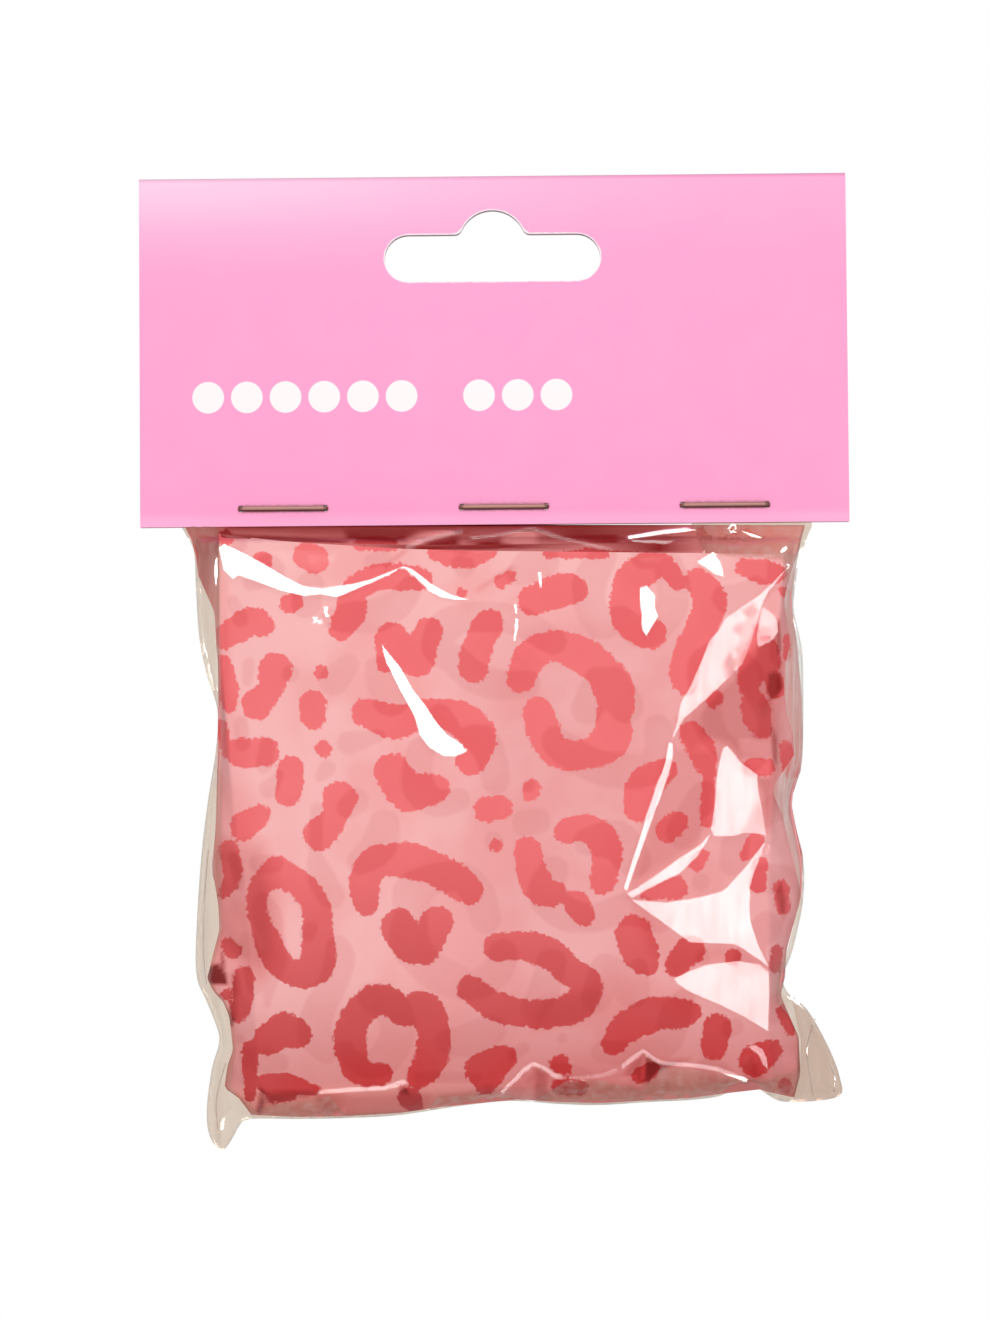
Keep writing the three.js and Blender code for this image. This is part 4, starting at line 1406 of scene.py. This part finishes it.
def film_net(facets):
    """The flat net of one film side: squares, triangles, edges to keep sharp, and each point's facet."""
    marked = [CLEAR_RING, CORNER_RING, SIDE_RING, *(corners for _, corners in CHIPS)]
    plain = [BAG_RING, *(straight_line(corners, EDGE_STEP) for corners in marked)]
    rings = [straight_line(corners, EDGE_STEP) for _, _, corners in facets]
    lines = plain + rings
    guards = np.vstack([beside_ring(ring) for ring in rings])
    low, high = BAG_RING.min(axis=0), BAG_RING.max(axis=0)
    across, down = np.meshgrid(*(np.arange(low[k], high[k], FILM_STEP) for k in (0, 1)))
    grid = np.stack([across.ravel(), down.ravel()], axis=1)
    grid += random.uniform(-FILM_JITTER, FILM_JITTER, grid.shape) * FILM_STEP
    grid = grid[inside(grid, BAG_RING)]
    for line in lines:
        grid = grid[distance(grid, line) > LINE_CLEARANCE * FILM_STEP]
    for ring in rings:
        guards = guards[~inside(guards, ring) & (distance(guards, ring) > GUARD_CLEARANCE * GUARD)]
    grid = np.vstack([grid, guards[inside(guards, BAG_RING) & (distance(guards, BAG_RING) > GUARD)]])
    squares, kept, faces = triangles(np.vstack([*lines, grid]), ring_edges(lines))
    faces = faces[inside(squares[faces].mean(axis=1), BAG_RING)]
    first_sharp = sum(len(line) for line in plain)
    sharp = {tuple(sorted(edge)) for edge, origin in kept if max(origin) >= first_sharp}
    owner = np.full(len(squares), -1)
    for n, ring in enumerate(rings):
        owner[covered(squares, ring)] = n
    return squares, faces, sharp, owner


def membrane(faces, held, heights):
    """Heights of a film that is held at some points and sinks back to zero away from them."""
    sides = np.vstack([faces[:, [0, 1]], faces[:, [1, 2]], faces[:, [2, 0]]])
    a, b = np.unique(np.sort(sides, axis=1), axis=0).T
    count = len(heights)
    around = np.bincount(a, minlength=count) + np.bincount(b, minlength=count) + MEMBRANE_SLACK
    found = np.where(held, heights, 0)
    for _ in range(MEMBRANE_ROUNDS):
        total = np.bincount(a, found[b], count) + np.bincount(b, found[a], count)
        found = np.where(held, heights, total / around)
    return found


def film_base(squares):
    """How far the plain film stands from the packet's middle."""
    full = fullness(squares)
    welded = np.clip(distance(squares, SWELL_RING[:-1], closed=False) / WELD_EASE, 0, 1)
    return FILM_DEPTH * full + (MOUTH_PLY + (FILM_STAND - MOUTH_PLY) * full) * welded


def film_gloss(squares, facets):
    """The plain film's gloss: dull at its rim, round the facets and over the neck."""
    spare = np.min([distance(squares, np.array(corners, float)) for _, _, corners in facets], axis=0)
    rim = np.clip(distance(squares, BAG_RING) / WELD_EASE, 0, 1)
    margin = RIM_GLOSS + (MARGIN_GLOSS - RIM_GLOSS) * rim
    leaf = LEAF_GLOSS * np.clip(spare / DULL_REACH, DULLEST, 1) ** 2
    gloss = np.where(inside(squares, LEAF_RING), leaf, margin)
    return np.where(squares[:, 1] < LEAF_TOP[-1][1], np.minimum(gloss, NECK_GLOSS), gloss)


def facet_heights(flat, base, aim, facing):
    """How far a facet stands off the plain film, tilted so that the camera sees its light in it."""
    middle = flat.mean(axis=0)
    seen_from = CAMERA_AT if facing < 0 else CAMERA_AT * [1, -1, 1]
    view = (seen_from - middle) / np.linalg.norm(seen_from - middle)
    light = (AIMS[aim] - middle) / np.linalg.norm(AIMS[aim] - middle)
    half = view + light
    slope = -facing * half[[0, 2]] / half[1]
    plane = (flat - middle)[:, [0, 2]] @ slope
    rise = plane + base.mean() - base
    return rise - rise.min() + FACET_LIFT


def film_side(facets, facing):
    """One side of the bag, facing -1 for the front or 1 for the back."""
    squares, faces, sharp, owner = film_net(facets)
    full = fullness(squares)
    base = film_base(squares)
    flat = place(squares, facing * FILM_DEPTH)
    heights = np.zeros(len(squares))
    gloss = film_gloss(squares, facets)
    for n, (aim, shine, _) in enumerate(facets):
        mine = owner == n
        heights[mine] = facet_heights(flat[mine], base[mine], aim, facing)
        gloss[mine] = shine
    for shine, corners in CHIPS if facing < 0 else ():
        gloss[covered(squares, np.array(corners, float))] = shine
    held = (owner >= 0) | (full < WELD_FULLNESS)
    relief = membrane(faces, held, heights)
    slack = np.where(owner >= 0, FACET_SLACK, FILM_SLACK) * np.clip(full * 2 - 0.6, 0, 1)
    wide, fine = ripples(squares, length=55, seed=21), ripples(squares, length=20, seed=22)
    relief += slack * wide + 0.3 * slack * fine
    points = place(squares, facing * (base + relief))
    return squares, points, faces if facing < 0 else faces[:, ::-1], sharp, gloss


def film_kinds(middles):
    """Which of the films each triangle is made of."""
    in_clear, in_corner, in_side = (
        inside(middles, np.array(ring)) for ring in (CLEAR_RING, CORNER_RING, SIDE_RING)
    )
    kinds = np.where(in_clear, 0, np.where(in_corner, FOLDED, WELDED))
    return np.where(in_side, WRINKLED, kinds)


def raise_mouth(film, lip):
    """Draws the film's upper edge up into the card, each step half of the way that is left."""
    for _ in range(MOUTH_STEPS):
        grown = bmesh.ops.extrude_edge_only(film, edges=lip)["geom"]
        raised = [item for item in grown if isinstance(item, bmesh.types.BMVert)]
        lift = (MOUTH_TOP - np.mean([vert.co.z for vert in raised]) / MM) / 2
        for vert in raised:
            vert.co.z += lift * MM
        lip = [item for item in grown if isinstance(item, bmesh.types.BMEdge) and item.is_boundary]
        lip = [edge for edge in lip if all(vert in raised for vert in edge.verts)]


def bag_film():
    """Both sides of the bag, joined along the welds and the bottom fold, with the mouth up in the card."""
    film = bmesh.new()
    shine = film.verts.layers.float.new("gloss")
    for facets, facing in ((FACETS, -1), (BACK_FACETS, 1)):
        squares, points, faces, sharp, gloss = film_side(facets, facing)
        verts = [film.verts.new(point * MM) for point in points]
        for vert, value in zip(verts, gloss):
            vert[shine] = value
        for corners, kind in zip(faces, film_kinds(squares[faces].mean(axis=1))):
            made = film.faces.new([verts[n] for n in corners])
            made.smooth = True
            made.material_index = int(kind)
        for start, stop in sharp:
            edge = film.edges.get((verts[start], verts[stop]))
            if edge:
                edge.smooth = False
        top = {vert for vert, square in zip(verts, squares) if square[1] < NECK_TOP + 0.01}
        lip = [edge for edge in film.edges if edge.is_boundary and all(vert in top for vert in edge.verts)]
        raise_mouth(film, lip)
    bmesh.ops.remove_doubles(film, verts=[v for v in film.verts if v.is_boundary], dist=2e-6)
    mesh = bpy.data.meshes.new("bag_film")
    film.to_mesh(mesh)
    film.free()
    for kind in FILMS:
        mesh.materials.append(film_finish(*kind))
    return add_object("bag_film", mesh)


def weld_beads():
    """Raised beads that the welding bar leaves in the front film."""
    routes = []
    for corners in BEADS:
        squares = smooth_line(corners, EDGE_STEP)
        routes.append(place(squares, -film_base(squares)))
    return sweep("weld_beads", routes, BEAD_SIZE, BEAD_SIZE, BEAD_SIZE / 3, film_finish(*BEAD_FILM))


# Hem and elastic inside the pack

def hem_loop():
    """The loop that the elastic follows: its points and its outward directions on X and Z."""
    low, high = box_of("elastic_band")
    inset = ELASTIC_HALF_WIDTH + HEM_CORNER
    left, right = low[0] + inset, high[0] - inset
    bottom, top = low[2] + inset, high[2] - inset
    points = []
    outward = []
    for first, (x, z) in enumerate(((right, top), (left, top), (left, bottom), (right, bottom))):
        for turn in np.linspace(first, first + 1, HEM_CORNER_STEPS) * math.pi / 2:
            outward.append((math.cos(turn), math.sin(turn)))
            points.append((x + HEM_CORNER * math.cos(turn), z + HEM_CORNER * math.sin(turn)))
    ring = np.vstack([points, points[:1]])
    run = np.concatenate([[0], np.cumsum(np.linalg.norm(np.diff(ring, axis=0), axis=1))])
    steps = np.linspace(0, run[-1], GATHER_STEPS * GATHERS + 1)[:-1]
    line = np.stack([np.interp(steps, run, ring[:, k]) for k in (0, 1)], axis=1)
    turned = np.vstack([outward, outward[:1]])
    away = np.stack([np.interp(steps, run, turned[:, k]) for k in (0, 1)], axis=1)
    return line, away / np.linalg.norm(away, axis=1)[:, None]


def loop_band(name, section, rise, finish):
    """A closed band round the hem's loop: section is a closed ring of (outward, depth) points."""
    line, away = hem_loop()
    low, high = box_of("elastic_band")
    middle = (low[1] + high[1]) / 2
    wave = rise * np.sin(np.arange(len(line)) / GATHER_STEPS * 2 * math.pi)
    rings = []
    for out, depth in section:
        flat = line + away * out
        gathered = wave * (GATHER_CORE + (1 - GATHER_CORE) * abs(out) / HEM_HALF_WIDTH)
        rings.append(np.stack([flat[:, 0], middle + depth + gathered, flat[:, 1]], axis=1))
    around, sides = len(line), len(section)
    faces = []
    for k in range(sides):
        for n in range(around):
            m = (n + 1) % around
            j = (k + 1) % sides
            faces.append((k * around + n, k * around + m, j * around + m, j * around + n))
    return make_object(name, np.vstack(rings), faces, finish)


def hem_pieces(cap_film):
    """The turned-over hem and the elastic inside it."""
    half = ELASTIC_THICKNESS / 2
    band = [(a * ELASTIC_HALF_WIDTH, b * half) for a, b in TURNS]
    elastic = loop_band("elastic_loop", band, 0, elastic_finish())
    outer, inner = half + HEM_OUTSIDE, half + HEM_INSIDE
    lip, edge = -HEM_HALF_WIDTH, HEM_HALF_WIDTH
    rounded, seam = edge - HEM_ROUND, edge - HEM_SEAM
    tube = [
        (lip, -outer), (0, -outer), (rounded, -outer), (edge, 0), (rounded, outer), (0, outer), (lip, outer),
        (lip, inner), (0, inner), (seam, inner), (seam, -inner), (0, -inner), (lip, -inner),
    ]
    hem = loop_band("gathered_hem", tube, GATHER_RISE, cap_film)
    for name, value in HEM_MARKS:
        give(hem, name, [value] * len(hem.data.vertices))
    return hem, elastic


# Assembly

bpy.context.scene.view_settings.view_transform = "Standard"
set_camera()
set_world()
add_strip("front_strip", STRIP_AT, STRIP_POWER)
add_strip("back_strip", BACK_STRIP_AT, BACK_STRIP_POWER)
add_floor()

card = header_card()
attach(card, "card")
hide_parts("header_card")

routes = [staple_route(name) for name in STAPLES]
staples = sweep("staple_wires", routes, WIRE_WIDTH, WIRE_THICKNESS, WIRE_EDGE, wire_finish())
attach(staples, "card")
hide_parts(*STAPLES)

cap = folded_cap()
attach(cap, "pouch")
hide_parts("cap_panel")

hem, elastic = hem_pieces(cap.data.materials[0])
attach(hem, "pouch")
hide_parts("cap_hem")
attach(elastic, "pouch")
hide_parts("elastic_band")

bag = bag_film()
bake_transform(bag)
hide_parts("bag_mouth", "bag_front_panel", "bag_back_panel", "bag_left_seal", "bag_right_seal")

beads = weld_beads()
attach(beads, "pouch")
